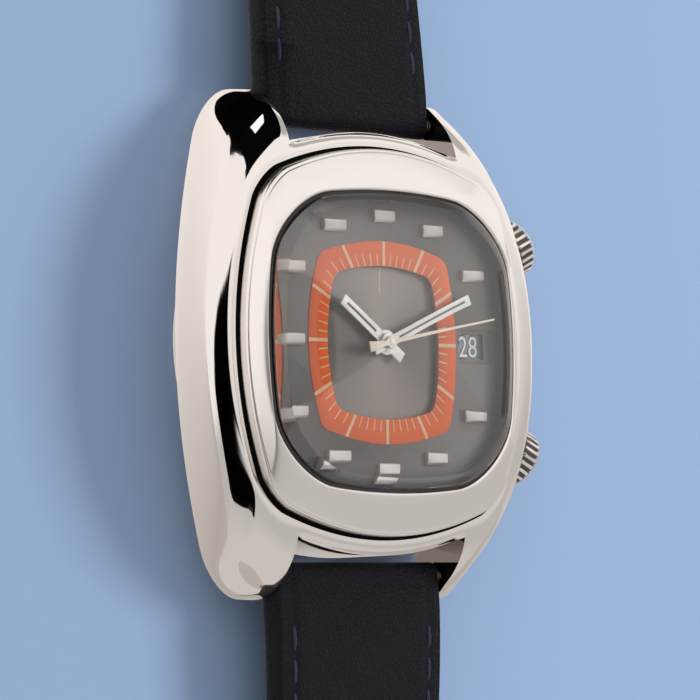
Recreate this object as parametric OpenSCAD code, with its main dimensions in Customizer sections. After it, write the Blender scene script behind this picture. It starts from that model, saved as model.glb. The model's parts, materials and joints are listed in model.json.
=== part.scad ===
// Wristwatch with an alarm, lying on its back with the strap opened out.
// X points to 3 o'clock, Y to 12 o'clock and Z out of the dial.
// The origin is the centre of the outer face of the case back.

/* [Case] */
// Width of the case at the top of its flanks
case_w = 39.8; // [38:0.1:44]
// Reach of the lugs beyond the spring bars
lug_reach = 2.2; // [2:0.1:3.5]
// Width of the case along its lower edge
foot_w = 37.1; // [36:0.1:40]
// Height of the middle of the case
case_h = 7; // [6.8:0.1:8]
// Height of the case back below the middle
back_h = 2.3; // [2.1:0.1:3]
// Diameter of the case back
back_d = 34.4; // [34:0.1:36]
// Gap between a pair of lugs
lug_gap = 20.4; // [20:0.1:21]
// Length of the case between the lug pairs
body_l = 38.1; // [37:0.1:39]
// Drop of the lug ridge below the dial at the lug tips
lug_drop = 3.5; // [3:0.1:4]
// Bore for the movement
bore_d = 31.6; // [31.4:0.1:32]

/* [Bezel and crystal] */
// Width of the bezel
bezel_w = 33.8; // [33:0.1:35]
// Length of the bezel
bezel_l = 34.9; // [34:0.1:36]
// Height of the bezel above the dial
bezel_h = 1.95; // [1.8:0.05:2.4]
// Width of the opening for the crystal
glass_w = 29.8; // [29:0.1:30.4]
// Length of the opening for the crystal
glass_l = 27; // [26:0.1:27.6]
// Height of the crystal's crown above the dial
glass_top = 3.9; // [3.7:0.1:4.6]
// Thickness of the crystal
glass_t = 1.1; // [0.9:0.1:1.3]
// Thickness of the crystal's wall
glass_wall = 0.35; // [0.3:0.05:0.5]
// Width of the gasket round the crystal
glass_seal = 0.25; // [0.2:0.05:0.4]

/* [Dial] */
// Thickness of the dial
dial_t = 0.4; // [0.35:0.05:0.5]
// Outer width of the minute track
track_w = 18; // [17.6:0.1:18.2]
// Inner width of the minute track
track_in = 13.8; // [13:0.1:14.4]
// Thickness of the minute track
track_t = 0.06; // [0.04:0.01:0.1]
// Length of an hour marker
mark_l = 2.7; // [2:0.1:3]
// Width of an hour marker
mark_w = 1.05; // [0.8:0.05:1.3]
// Height of an hour marker
mark_h = 0.5; // [0.3:0.05:0.6]
// Width of the date window
window_w = 3; // [2.6:0.1:3.2]
// Height of the date window
window_l = 2.4; // [2:0.1:2.8]

/* [Hands] */
// Length of the hour hand from the centre
hour_l = 6.4; // [5:0.1:7]
// Length of the minute hand from the centre
minute_l = 10.8; // [9:0.1:12]
// Length of the second hand from the centre
second_l = 12.7; // [11:0.1:12.8]
// Width of the hour hand
hour_w = 1.1; // [0.8:0.05:1.3]
// Width of the minute hand
minute_w = 0.95; // [0.8:0.05:1.2]
// Thickness of a hand
hand_t = 0.18; // [0.12:0.01:0.22]

/* [Crowns] */
// Angle of each crown from 3 o'clock
crown_angle = 26; // [23:1:28]
// Diameter of a crown
crown_d = 5.6; // [5:0.1:6]
// Distance of a crown's outer face from the centre
crown_reach = 23.4; // [22.6:0.1:24]
// Length of a crown
crown_l = 2.5; // [2.2:0.1:2.8]
// Number of flutes on a crown
flutes = 24; // [16:2:30]
// Diameter of a winding stem
stem_d = 1; // [0.8:0.05:1.2]
// Travel of a crown when it is pulled
crown_pull = 0.8; // [0.5:0.1:1]

/* [Movement] */
// Diameter of the movement
move_d = 30.4; // [30:0.1:30.8]
// Thickness of the main plate
plate_t = 1.4; // [1.3:0.05:1.6]
// Thickness of the bridges
bridge_t = 0.7; // [0.5:0.05:0.8]
// Thickness of a train wheel
wheel_t = 0.2; // [0.15:0.01:0.25]
// Diameter of the rotor
rotor_d = 27; // [24:0.5:27.4]
// Diameter of the balance wheel
balance_d = 7.2; // [6:0.1:7.6]

/* [Strap] */
// Width of the strap at the lugs
strap_w = 20; // [19:0.1:20.2]
// Width of the strap at the buckle and tip
strap_end_w = 16; // [15:0.1:17]
// Thickness of the strap at the lugs
strap_t = 2.6; // [2.4:0.1:2.8]
// Thickness of the strap away from the lugs
strap_thin = 2.1; // [1.8:0.1:2.3]
// Length of the strap half with the buckle, from bar to bar
buckle_half_l = 75; // [70:1:80]
// Length of the strap half with the holes
hole_half_l = 115; // [105:1:120]
// Diameter of the spring bars at the lugs
bar_d = 1.5; // [1.3:0.1:1.6]
// Gap from the end wall of the case to the axis of a spring bar
bar_gap = 1.75; // [1.65:0.05:2]
// Number of holes in the strap
hole_count = 7; // [5:1:8]
// Diameter of the wire of the buckle
buckle_wire = 1.8; // [1.6:0.1:2]
// Reach of the buckle beyond its bar
buckle_reach = 9; // [8:0.1:11]
// Thickness of the leather of a keeper
keeper_t = 0.9; // [0.8:0.1:1]

/* [Hidden] */
$fn = 48;

steel = "gainsboro";
brass = "goldenrod";
nickel = "silver";
leather = [0.09, 0.09, 0.11];
eps = 0.01;

// Places along the case
bar_y = body_l / 2 + bar_gap;
case_l = 2 * (bar_y + lug_reach);

// Heights, measured up from the case back
case_z = back_h;
dial_z = back_h + case_h;
dial_under = dial_z - dial_t;
disc_t = 0.25;
disc_z = dial_under - 0.1 - disc_t;
plate_top = disc_z - 0.15;
plate_z = plate_top - plate_t;
bridge_z = 3;
bridge_top = bridge_z + bridge_t;
stem_z = case_z + 3.3;

// Radii of the movement
bore_r = bore_d / 2;
move_r = move_d / 2;
disc_r = 8.7;
date_in = 9.2;
date_out = 13.2;
rim_in = date_out + 0.25;
work_r = 6.2;
work_z = plate_z + 0.6;

// Sizes of the case's outlines
ridge_z = dial_z - 0.6;
foot_z = case_z + 0.4;
side_sag = 6.8;
foot_sag = 3.6;
end_sag = 0.4;
flank_bulge = 0.037;
tip_bulge = 0.008;
lug_root_sag = 4.6;
groove = 0.6;
lug_x = lug_gap / 2;
bar_z = dial_z - 4.5;
bar_tip_d = 0.8;
bar_tip_l = 0.9;
slack = 0.05;

// Sizes of the crown works
crown_in = crown_reach - crown_l;
tube_d = 2;
tube_out = crown_in + 0.6;
stem_in = 10.9;
pinion_in = 11.2;
pinion_l = 1.2;
pinion_r = 1.4;
crown_wheel_at = 9.2;
crown_wheel_z = bridge_top + 0.2;
lever_at = 13.6;
lever_w = 0.5;

// Train: counts of teeth, levels and places
pivot = 0.12;
arbor = 0.2;
centre_teeth = 80;
third_pinion_teeth = 10;
third_teeth = 75;
fourth_pinion_teeth = 10;
fourth_teeth = 80;
escape_pinion_teeth = 8;
barrel_teeth = 90;
centre_pinion_teeth = 12;
third_gap = 4.5;
escape_gap = 3.96;
barrel_gap = 7.65;
third_at = place(third_gap, 190);
escape_at = place(escape_gap, 125);
barrel_at = place(barrel_gap, -75);
alarm_barrel_at = [3, 7.7];
strike_at = [-2.5, 10.8];
balance_at = [-9, 5.2];
fork_at = escape_at + 2.9 * unit(balance_at - escape_at);
hammer_at = [-5.4, 11.4];
pin_at = place(14, 131);
fourth_z = bridge_top + 0.6;
third_z = fourth_z + 0.9;
escape_z = fourth_z + 0.6;
centre_z = third_z + 1.1;
drum_z = fourth_z + 0.45;
drum_h = 1.05;
drum_r = 5;
alarm_drum_r = 4.2;
barrel_tooth_z = drum_z + drum_h + 0.05;
ratchet_z = bridge_top + 0.2;
motion_gap = 2.8;

function place(r, a) = [r * cos(a), r * sin(a)];
function unit(v) = v / norm(v);
function heading(v) = atan2(v[1], v[0]);
function mix(a, b, t) = a + (b - a) * t;
function turned(p, k) = k == 0 ? p : turned([-p[1], p[0]], k - 1);
function clamp01(t) = max(0, min(1, t));

// Square of half size 1 with corners of radius r, anticlockwise
side_n = 8;
corner_n = 6;
function unit_ring(r) = [for (k = [0:3]) each [for (p = concat(
    [for (i = [0:side_n - 1]) [1, (1 - r) * (2 * i / side_n - 1)]],
    [for (i = [0:corner_n - 1]) let (a = 90 * i / corner_n)
        [1 - r + r * cos(a), 1 - r + r * sin(a)]])) turned(p, k)]];

// Cushion of half sizes a and b, whose sides bow out by sa and sb
function cushion(a, b, sa, sb, r) = [for (p = unit_ring(r))
    [(a - sa * p[1] * p[1]) * p[0], (b - sb * p[0] * p[0]) * p[1]]];
function raised(ring, z) = [for (p = ring) [p[0], p[1], z]];
function blend_rings(a, b, t) = [for (i = [0:len(a) - 1]) mix(a[i], b[i], t)];

function glass_ring(inset) = cushion(glass_w / 2 - inset, glass_l / 2 - inset, 1.5, 1.4, 0.45);
function bezel_ring(inset) = cushion(bezel_w / 2 - inset, bezel_l / 2 - inset, 3, 3.2, 0.16);
function track_ring(w, inset) = cushion(w / 2 - inset, w / 2 - inset, w * 0.077, w * 0.075, 0.08);
function track_hole() = cushion(track_in / 2, track_in / 2, track_in * 0.075,
    track_in * 0.064, 0.12);

// Solid through a list of rings that have the same number of points
module loft(rings, closed = false) {
    n = len(rings[0]);
    m = len(rings);
    points = [for (ring = rings) each ring];
    last = closed ? m - 1 : m - 2;
    sides = [for (j = [0:last], i = [0:n - 1]) let (k = (i + 1) % n, up = (j + 1) % m)
        each [[j * n + i, j * n + k, up * n + k], [j * n + i, up * n + k, up * n + i]]];
    caps = closed ? [] : [[for (i = [n - 1:-1:0]) i], [for (i = [0:n - 1]) (m - 1) * n + i]];
    polyhedron(points, concat(sides, caps), convexity = 8);
}

// Ring between two radii
module tube(r_out, r_in, h) {
    difference() {
        cylinder(r = r_out, h = h);
        translate([0, 0, -1]) cylinder(r = r_in, h = h + 2);
    }
}

// Wheel outline with short straight-sided teeth, one of them pointing at angle 0
function gear_points(z, m, add = 0.75, ded = 1.1, fat = 0.17) = [for (i = [0:z - 1]) let (
    pitch = 360 / z, a = i * pitch, r = m * z / 2)
    each [place(r - ded * m, a - pitch * 0.27), place(r, a - pitch * fat),
        place(r + add * m, a - pitch * 0.07), place(r + add * m, a + pitch * 0.07),
        place(r, a + pitch * fat), place(r - ded * m, a + pitch * 0.27)]];

// Spoked wheel with its hub, centred on its axis
module spoked_wheel(z, m, t, hub_r, spokes = 4, rim = 0.45) {
    r = m * z / 2;
    difference() {
        linear_extrude(t) polygon(gear_points(z, m));
        translate([0, 0, -1]) cylinder(r = r - 1.1 * m - rim, h = t + 2);
    }
    cylinder(r = hub_r, h = t);
    for (i = [0:spokes - 1]) rotate(i * 360 / spokes + 180 / spokes)
        translate([0, -0.16, 0]) cube([r - 1.1 * m - rim + 0.05, 0.32, t]);
}

module pinion(z, m, t) {
    linear_extrude(t) polygon(gear_points(z, m));
}

// Arbor between the bridge and the main plate, with a thin pivot at each end
module arbor_between(z0, z1, r = arbor) {
    translate([0, 0, z0]) cylinder(r = r, h = z1 - z0);
    translate([0, 0, z0 - bridge_t * 0.7]) cylinder(r = pivot, h = bridge_t);
    translate([0, 0, z1 - eps]) cylinder(r = pivot, h = 0.5);
}

// Flat spiral strip
function spiral(r0, r1, turns, half, steps) = concat(
    [for (i = [0:steps]) place(mix(r0, r1, i / steps) + half, 360 * turns * i / steps)],
    [for (i = [steps:-1:0]) place(mix(r0, r1, i / steps) - half, 360 * turns * i / steps)]);

// Case

function ridge_height(p) = ridge_z - lug_drop * pow(abs(p[1]) / 20, 4)
    * mix(0.57, 1, clamp01((abs(p[0]) - 10) / 4.5));
ridge = [for (p = cushion(case_w / 2, case_l / 2 - 0.5, side_sag, end_sag, 0.14))
    [p[0], p[1], ridge_height(p)]];
groove_ring = raised(bezel_ring(-groove), dial_z);
foot = raised(cushion(foot_w / 2, case_l / 2, foot_sag, end_sag, 0.2), foot_z);
sole = raised(cushion(foot_w / 2 - 0.7, case_l / 2 - 0.7, foot_sag, end_sag, 0.2), case_z);

function shoulder(t) = [for (i = [0:len(ridge) - 1]) let (p = mix(groove_ring[i], ridge[i], t))
    [p[0], p[1], mix(dial_z, ridge[i][2], pow(t, 2.2))]];
function flank(t) = [for (p = blend_rings(ridge, foot, t)) let (s = 4 * t * (1 - t))
    [p[0] * (1 + flank_bulge * s), p[1] * (1 + tip_bulge * s), p[2]]];

module crown_axis(side) {
    rotate(side * crown_angle) translate([0, 0, stem_z]) rotate([0, 90, 0]) children();
}

module middle_case() color(steel) difference() {
    loft([sole, foot, flank(0.8), flank(0.6), flank(0.4), flank(0.2), flank(0.07), ridge,
        shoulder(0.93), shoulder(0.8), shoulder(0.6), shoulder(0.35), groove_ring]);
    translate([0, 0, case_z - 1]) cylinder(r = bore_r, h = dial_under - case_z + 1);
    translate([0, 0, dial_under]) linear_extrude(2) polygon(dial_outline(0.05));
    for (end = [-1, 1]) lug_gap_cutter(end);
    for (side = [-1, 1]) crown_axis(side) {
        translate([0, 0, bore_r - 2]) cylinder(d = tube_d, h = 12);
        translate([0, 0, crown_in - 0.2]) cylinder(d = crown_d + 0.5, h = 6);
    }
    for (x = [-1, 1], y = [-1, 1]) translate([x * (lug_x - 1), y * bar_y, bar_z])
        rotate([0, x * 90, 0]) cylinder(d = bar_tip_d + 2 * slack, h = 1 + bar_tip_l + slack);
}

// Space between a pair of lugs, in front of a curved end wall
module lug_gap_cutter(end) rotate(end > 0 ? 0 : 180) translate([0, body_l / 2, case_z - 1])
    linear_extrude(case_h + 2) polygon(concat([[lug_x, 9], [-lug_x, 9]],
        [for (i = [0:12]) let (x = lug_x * (i / 6 - 1))
            [x, -lug_root_sag * pow(x / bezel_w * 2, 2)]]));

module bezel() color(steel) {
    top = dial_z + bezel_h;
    outer = bezel_ring(0.45);
    inner = glass_ring(-0.15);
    loft([raised(bezel_ring(0.3), dial_z), raised(bezel_ring(0), dial_z + 0.25),
        raised(bezel_ring(0.05), dial_z + 0.85), raised(outer, dial_z + 1.1),
        raised(blend_rings(outer, inner, 0.35), dial_z + mix(1.1, bezel_h, 0.55)),
        raised(blend_rings(outer, inner, 0.7), dial_z + mix(1.1, bezel_h, 0.88)),
        raised(inner, top), raised(glass_ring(0), top - 0.15),
        raised(glass_ring(0), dial_z + glass_seat),
        raised(glass_ring(0.4), dial_z + glass_seat), raised(glass_ring(0.4), dial_z)],
        closed = true);
}

// Crystal: a soft bevel runs up to a low dome
glass_seat = 0.7;
bevel = 1.27;
dome_rise = 1.2;
module crystal() color([0.8, 0.87, 0.9, 0.35]) {
    low = dial_z + glass_seat;
    crown = dial_z + glass_top;
    rim = crown - dome_rise;
    wall = glass_seal + glass_wall;
    loft([raised(scaled(0.1), crown - glass_t),
        raised(scaled(0.4), mix(rim, crown, 0.88) - glass_t),
        raised(scaled(0.72), mix(rim, crown, 0.53) - glass_t),
        raised(glass_ring(wall + 0.1), rim - glass_t),
        raised(glass_ring(wall), low), raised(glass_ring(glass_seal), low),
        raised(glass_ring(glass_seal), rim - 0.67),
        raised(glass_ring(mix(glass_seal, bevel, 0.35)), rim - 0.35),
        raised(glass_ring(mix(glass_seal, bevel, 0.68)), rim - 0.15),
        raised(glass_ring(bevel), rim), raised(scaled(0.72), mix(rim, crown, 0.53)),
        raised(scaled(0.4), mix(rim, crown, 0.88)), raised(scaled(0.1), crown)]);
}
function scaled(s) = [for (p = glass_ring(bevel)) p * s];

module crystal_gasket() color("dimgray") difference() {
    translate([0, 0, dial_z + glass_seat]) linear_extrude(bezel_h - glass_seat - 0.2)
        polygon(glass_ring(eps));
    translate([0, 0, dial_z]) linear_extrude(bezel_h + 1) polygon(glass_ring(glass_seal - eps));
}

back_floor = 1.1;
module case_back() color(steel) difference() {
    rotate_extrude($fn = 96) polygon([[0, 0], [back_d / 2 - 1.6, 0], [back_d / 2 - 0.3, 0.5],
        [back_d / 2, 1], [back_d / 2, back_h], [bore_r - 0.05, back_h],
        [bore_r - 0.05, back_h + 0.35], [bore_r - 0.85, back_h + 0.35],
        [bore_r - 0.85, back_floor], [0, back_floor]]);
    for (i = [0:5]) rotate(i * 60 + 30) translate([back_d / 2 - 2.5, -0.9, -1])
        cube([4, 1.8, 1.5]);
    translate([pin_at[0], pin_at[1], 0.7]) cylinder(r = 0.4 + eps, h = 1);
}

module back_gasket() color("dimgray") translate([0, 0, back_h - 0.5])
    tube(back_d / 2 + 0.35, back_d / 2 + 0.01, 0.5 - eps);

module crown_tubes() color(steel) for (side = [-1, 1]) crown_axis(side)
    translate([0, 0, bore_r + 0.05]) difference() {
        cylinder(d = tube_d - 2 * eps, h = tube_out - bore_r);
        translate([0, 0, -1]) cylinder(d = stem_d + 2 * slack, h = 12);
    }

module movement_ring() color(nickel) difference() {
    translate([0, 0, bridge_z]) tube(bore_r - 0.03, move_r + 0.03, dial_under - 0.1 - bridge_z);
    for (side = [-1, 1]) crown_axis(side) cylinder(d = stem_d + 0.6, h = 30);
}

// Dial and what shows on it

function dial_outline(grow) = glass_ring(-0.5 - grow);

window_at = 10.95;
module dial() color([0.5, 0.48, 0.46]) difference() {
    translate([0, 0, dial_under]) linear_extrude(dial_t) polygon(dial_outline(0));
    translate([0, 0, dial_under - 1]) linear_extrude(3) polygon(track_hole());
    translate([window_at, 0, dial_under]) {
        cube([window_w, window_l, 5], center = true);
        translate([0.25, 0, dial_t / 2 + 2.5]) cube([window_w + 1.1, window_l + 0.9, 5],
            center = true);
    }
}

module minute_track() color([0.82, 0.42, 0.28]) difference() {
    translate([0, 0, dial_z]) linear_extrude(track_t) polygon(track_ring(track_w, 0));
    translate([0, 0, dial_z - 1]) linear_extrude(3) polygon(track_hole());
}

marker_places = [[0, 11.1], [5.85, 10.1], [10.65, 6.35], [10.65, -6.35], [5.85, -10.1],
    [0, -11.1], [-5.85, -10.1], [-10.65, -6.35], [-10.9, 0], [-10.65, 6.35], [-5.85, 10.1]];
module hour_markers() color(steel) for (p = marker_places)
    translate([p[0] - mark_l / 2, p[1], dial_z]) rotate([90, 0, 90]) linear_extrude(mark_l)
        polygon([[-mark_w / 2, 0], [mark_w / 2, 0], [mark_w / 2, mark_h * 0.5],
            [mark_w * 0.2, mark_h], [-mark_w * 0.2, mark_h], [-mark_w / 2, mark_h * 0.5]]);

// Radii of the tubes that carry the hands, one inside the other
second_pipe = 0.14;
cannon_out = 0.42;
hour_pipe_in = cannon_out + slack;
hour_pipe = 0.75;
disc_pipe_in = hour_pipe + slack;
disc_pipe = 1.15;
hour_hand_z = dial_z + 0.12;
minute_hand_z = hour_hand_z + hand_t + 0.2;
second_hand_z = minute_hand_z + hand_t + 0.2;
hour_now = 144.4;
minute_now = 22.9;
second_now = 11.2;

module alarm_disc() color([0.6, 0.58, 0.56]) {
    translate([0, 0, disc_z]) tube(disc_r, disc_pipe_in, disc_t);
    translate([0, 0, disc_z - 0.25]) tube(disc_pipe, disc_pipe_in, 0.25 + eps);
}

module date_disc() color("gainsboro") translate([0, 0, disc_z])
    tube(date_out, date_in, disc_t);

// Baton with a slot, round its boss
module baton(len, w, tail, boss, bore) difference() {
    union() {
        translate([-tail, -w / 2, 0]) cube([tail + len, w, hand_t]);
        cylinder(r = boss, h = hand_t);
    }
    translate([0, 0, -1]) cylinder(r = bore + eps, h = 3);
    translate([boss + 0.5, -w * 0.17, -1]) cube([len - boss - 1.1, w * 0.34, 3]);
}

module hour_hand() color("whitesmoke") translate([0, 0, hour_hand_z]) rotate(hour_now)
    baton(hour_l, hour_w, 2.4, 1.15, hour_pipe);

module minute_hand() color("whitesmoke") translate([0, 0, minute_hand_z]) rotate(minute_now)
    baton(minute_l, minute_w, 2, 0.85, cannon_out);

module second_hand() color("wheat") translate([0, 0, second_hand_z]) rotate(second_now) {
    difference() {
        union() {
            linear_extrude(hand_t) polygon([[second_l, -0.08], [second_l, 0.08], [0, 0.18],
                [-0.8, 0.2], [-2.8, 0.5], [-2.8, -0.5], [-0.8, -0.2], [0, -0.18]]);
            cylinder(r = 0.6, h = hand_t);
            translate([0, 0, -0.1]) cylinder(r = 0.3, h = 0.1 + eps);
        }
        translate([0, 0, -1]) cylinder(r = second_pipe + eps, h = 3);
    }
}

// Plates

module at(p) {
    translate([p[0], p[1], 0]) children();
}
train_places = [third_at, escape_at, fork_at, strike_at, hammer_at];
pillar_places = [for (a = [0, 48, 185, 215, 245, -40]) place(14.2, a)];
pillar_r = 0.7;
work_at = place(motion_gap, 250);

module main_plate() color(nickel) {
    plate_shape();
    at(work_at) translate([0, 0, work_z - eps]) cylinder(r = 0.2 - slack, h = 0.5);
}
module plate_shape() difference() {
    union() {
        translate([0, 0, plate_z]) cylinder(r = move_r, h = plate_t, $fn = 96);
        translate([0, 0, plate_top - eps])
            tube(move_r, rim_in, dial_under - plate_top + eps);
    }
    translate([0, 0, work_z]) cylinder(r = work_r, h = 5);
    translate([0, 0, plate_z - 1]) cylinder(r = cannon_out + 0.3, h = 5);
    for (p = concat(train_places, [balance_at])) at(p) translate([0, 0, plate_z - 1])
        cylinder(r = pivot + slack, h = 1.6);
    for (p = [barrel_at, alarm_barrel_at]) at(p) translate([0, 0, plate_z - 1])
        cylinder(r = 0.5 + slack, h = 1.8);
    for (side = [-1, 1]) crown_axis(side) {
        translate([0, 0, stem_in - 0.3]) cylinder(d = stem_d + 2 * slack, h = 8);
        translate([0, 0, pinion_in - 0.15]) cylinder(r = pinion_r + 0.25, h = 4.6);
    }
}

module train_bridge() color(nickel) difference() {
    union() {
        translate([0, 0, bridge_z]) cylinder(r = move_r - 0.1, h = bridge_t, $fn = 96);
        for (p = pillar_places) at(p) translate([0, 0, bridge_top - eps])
            cylinder(r = pillar_r, h = plate_z - bridge_top + eps);
    }
    cock_space(0.1);
    for (p = train_places) at(p) translate([0, 0, bridge_z - 1])
        cylinder(r = jewel_r + eps, h = 3);
    translate([0, 0, bridge_z - 1]) cylinder(r = jewel_r + eps, h = 3);
    for (p = [barrel_at, alarm_barrel_at]) at(p) translate([0, 0, bridge_z - 1])
        cylinder(r = 0.5 + slack, h = 3);
    for (side = [-1, 1]) at(place(crown_wheel_at, side * crown_angle))
        translate([0, 0, bridge_z - 1]) cylinder(r = 0.4 + slack, h = 3);
    for (p = pillar_places) at(p) translate([0, 0, bridge_z - 1])
        cylinder(r = screw_r + eps, h = 1.2 + 0.4);
    at(pin_at) translate([0, 0, bridge_z - 1]) cylinder(r = 0.75, h = 3);
}

// Room of the balance cock in the bridge: a round head and a foot at the edge
module cock_space(grow) translate([balance_at[0], balance_at[1], bridge_z - 1]) {
    cylinder(r = 2.2 + grow, h = 4);
    rotate(heading(balance_at)) translate([0, -1.8 - grow, 0]) cube([6, 3.6 + 2 * grow, 4]);
}

cock_foot = place(move_r - 1.3, heading(balance_at));
module balance_cock() color(nickel) difference() {
    intersection() {
        cock_space(0);
        translate([0, 0, bridge_z]) cylinder(r = move_r - 0.1, h = bridge_t, $fn = 96);
    }
    at(balance_at) translate([0, 0, bridge_z - 1]) cylinder(r = jewel_r + eps, h = 3);
    at(cock_foot) translate([0, 0, bridge_z - 1]) cylinder(r = screw_r + eps, h = 3);
}

jewel_r = 0.55;
module jewels() color("crimson") for (p = concat(train_places, [balance_at, [0, 0]]))
    at(p) translate([0, 0, bridge_z]) tube(jewel_r, pivot + 0.02, bridge_t);

screw_r = 0.45;
module bridge_screws() color("steelblue") {
    for (p = pillar_places) at(p) translate([0, 0, bridge_z + 0.05]) slotted_screw(0.5);
    at(cock_foot) translate([0, 0, bridge_z + 0.05]) slotted_screw(bridge_t - 0.1);
}
module slotted_screw(h) difference() {
    cylinder(r = screw_r, h = h);
    translate([-1, -0.06, -0.5]) cube([2, 0.12, 0.65]);
}

// Going train

module going_barrel() color(brass) at(barrel_at) difference() {
    union() {
        translate([0, 0, drum_z]) cylinder(r = drum_r, h = drum_h + 0.06);
        translate([0, 0, barrel_tooth_z]) rotate(heading(barrel_at) + 180)
            linear_extrude(wheel_t) polygon(gear_points(barrel_teeth, barrel_m));
    }
    translate([0, 0, drum_z + 0.15]) cylinder(r = drum_r - 0.25, h = drum_h - 0.25);
    translate([0, 0, drum_z - 1]) cylinder(r = 0.5 + slack, h = 4);
}
barrel_m = 2 * barrel_gap / (barrel_teeth + centre_pinion_teeth);

module mainspring() color("slategray") at(barrel_at) translate([0, 0, drum_z + 0.2])
    linear_extrude(drum_h - 0.35) polygon(spiral(1.3, drum_r - 0.4, 7, 0.05, 170));

// Ratchet wheel with the barrel's arbor
module ratchet(teeth, m, turn) {
    translate([0, 0, ratchet_z]) rotate(turn) pinion(teeth, m, wheel_t);
    translate([0, 0, bridge_z + 0.1]) cylinder(r = 0.5, h = plate_z + 0.6 - bridge_z);
}

ratchet_teeth = 40;
crown_wheel_teeth = 24;
time_wheel_at = place(crown_wheel_at, -crown_angle);
alarm_wheel_at = place(crown_wheel_at, crown_angle);
ratchet_m = 2 * norm(barrel_at - time_wheel_at) / (ratchet_teeth + crown_wheel_teeth);
alarm_ratchet_teeth = 34;
alarm_ratchet_m = 2 * norm(alarm_barrel_at - alarm_wheel_at)
    / (alarm_ratchet_teeth + crown_wheel_teeth);

module ratchet_wheel() color(nickel) at(barrel_at)
    ratchet(ratchet_teeth, ratchet_m, heading(time_wheel_at - barrel_at));

module crown_wheel() color(nickel) at(time_wheel_at)
    crown_wheel_shape(ratchet_m, heading(barrel_at - time_wheel_at));

module crown_wheel_shape(m, turn) {
    translate([0, 0, crown_wheel_z]) rotate(turn + 180 / crown_wheel_teeth)
        pinion(crown_wheel_teeth, m, wheel_t);
    translate([0, 0, bridge_z + 0.1]) cylinder(r = 0.4, h = bridge_t + 0.2);
}

centre_m = 2 * third_gap / (centre_teeth + third_pinion_teeth);
third_m = 2 * third_gap / (third_teeth + fourth_pinion_teeth);
fourth_m = 2 * escape_gap / (fourth_teeth + escape_pinion_teeth);

module centre_wheel() color(brass) difference() {
    union() {
        translate([0, 0, centre_z]) rotate(heading(third_at))
            spoked_wheel(centre_teeth, centre_m, wheel_t, 0.9);
        translate([0, 0, barrel_tooth_z - 0.1])
            rotate(heading(barrel_at) + 180 / centre_pinion_teeth)
            pinion(centre_pinion_teeth, barrel_m, centre_z - barrel_tooth_z + 0.1 + eps);
        translate([0, 0, centre_z + wheel_t - eps])
            cylinder(r = cannon_out + 0.2, h = plate_z + 0.3 - centre_z - wheel_t);
    }
    translate([0, 0, 1]) cylinder(r = second_pipe + slack, h = 9);
}

module third_wheel() color(brass) at(third_at) {
    translate([0, 0, third_z]) rotate(heading(third_at) + 180)
        spoked_wheel(third_teeth, third_m, wheel_t, 0.7);
    translate([0, 0, centre_z - 0.1])
        rotate(heading(third_at) + 180 + 180 / third_pinion_teeth)
        pinion(third_pinion_teeth, centre_m, wheel_t + 0.2);
    arbor_between(bridge_top + 0.05, plate_z - 0.05);
}

module fourth_wheel() color(brass) {
    translate([0, 0, fourth_z]) rotate(heading(escape_at))
        spoked_wheel(fourth_teeth, fourth_m, wheel_t, 0.7);
    translate([0, 0, third_z - 0.1]) rotate(heading(third_at) + 180 / fourth_pinion_teeth)
        pinion(fourth_pinion_teeth, third_m, wheel_t + 0.2);
    translate([0, 0, bridge_top + 0.05]) cylinder(r = arbor, h = third_z - bridge_top);
    translate([0, 0, bridge_z + 0.2]) cylinder(r = pivot, h = bridge_t);
    translate([0, 0, third_z]) cylinder(r = second_pipe,
        h = second_hand_z + hand_t - 0.02 - third_z);
}

escape_teeth = 15;
escape_r = 2.1;
module escape_wheel() color(nickel) at(escape_at) {
    translate([0, 0, escape_z]) difference() {
        linear_extrude(0.15) polygon([for (i = [0:escape_teeth - 1])
            let (a = i * 360 / escape_teeth, s = 360 / escape_teeth)
            each [place(escape_r - 0.5, a), place(escape_r, a + s * 0.62),
                place(escape_r - 0.02, a + s * 0.75), place(escape_r - 0.5, a + s * 0.7)]]);
        for (i = [0:3]) rotate(i * 90 + 45) translate([0.95, 0, -1]) cylinder(r = 0.4, h = 3);
    }
    translate([0, 0, fourth_z - 0.1])
        rotate(heading(escape_at) + 180 + 180 / escape_pinion_teeth)
        pinion(escape_pinion_teeth, fourth_m, wheel_t + 0.2);
    arbor_between(bridge_top + 0.05, plate_z - 0.05, 0.16);
}

// Lever with two pallets beside the escape wheel and a fork towards the balance
module pallet_fork() color(steel) at(fork_at) rotate(heading(balance_at - fork_at)) {
    reach = norm(balance_at - fork_at);
    translate([0, 0, escape_z]) {
        difference() {
            translate([-0.3, -0.17, 0]) cube([reach, 0.34, 0.15]);
            translate([reach - 0.75, -0.11, -1]) cube([1, 0.22, 3]);
        }
        for (s = [-1, 1]) mirror([0, s < 0 ? 1 : 0, 0])
            linear_extrude(0.15) polygon([[-0.2, 0], [0.2, 0], [-0.95, 1.6], [-1.2, 1.4]]);
        cylinder(r = 0.32, h = 0.15);
    }
    arbor_between(bridge_top + 0.05, plate_z - 0.05, 0.14);
}

module balance_wheel() color(brass) at(balance_at) {
    r = balance_d / 2;
    translate([0, 0, fourth_z - 0.1]) {
        tube(r, r - 0.5, 0.3);
        for (i = [0:2]) rotate(i * 120 + 15) translate([0, -0.15, 0.05])
            cube([r - 0.3, 0.3, 0.2]);
        cylinder(r = 0.45, h = 0.3);
        for (i = [0:7]) rotate(i * 45) translate([r - 0.25, 0, 0.3 - eps])
            cylinder(r = 0.13, h = 0.12);
    }
    // Roller with its pin between the horns of the fork
    translate([0, 0, escape_z + 0.3]) cylinder(r = 0.6, h = 0.12);
    rotate(heading(fork_at - balance_at)) translate([0.42, 0, escape_z - 0.05])
        cylinder(r = 0.07, h = 0.4);
    arbor_between(bridge_top + 0.05, plate_z - 0.05, 0.13);
}

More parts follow.
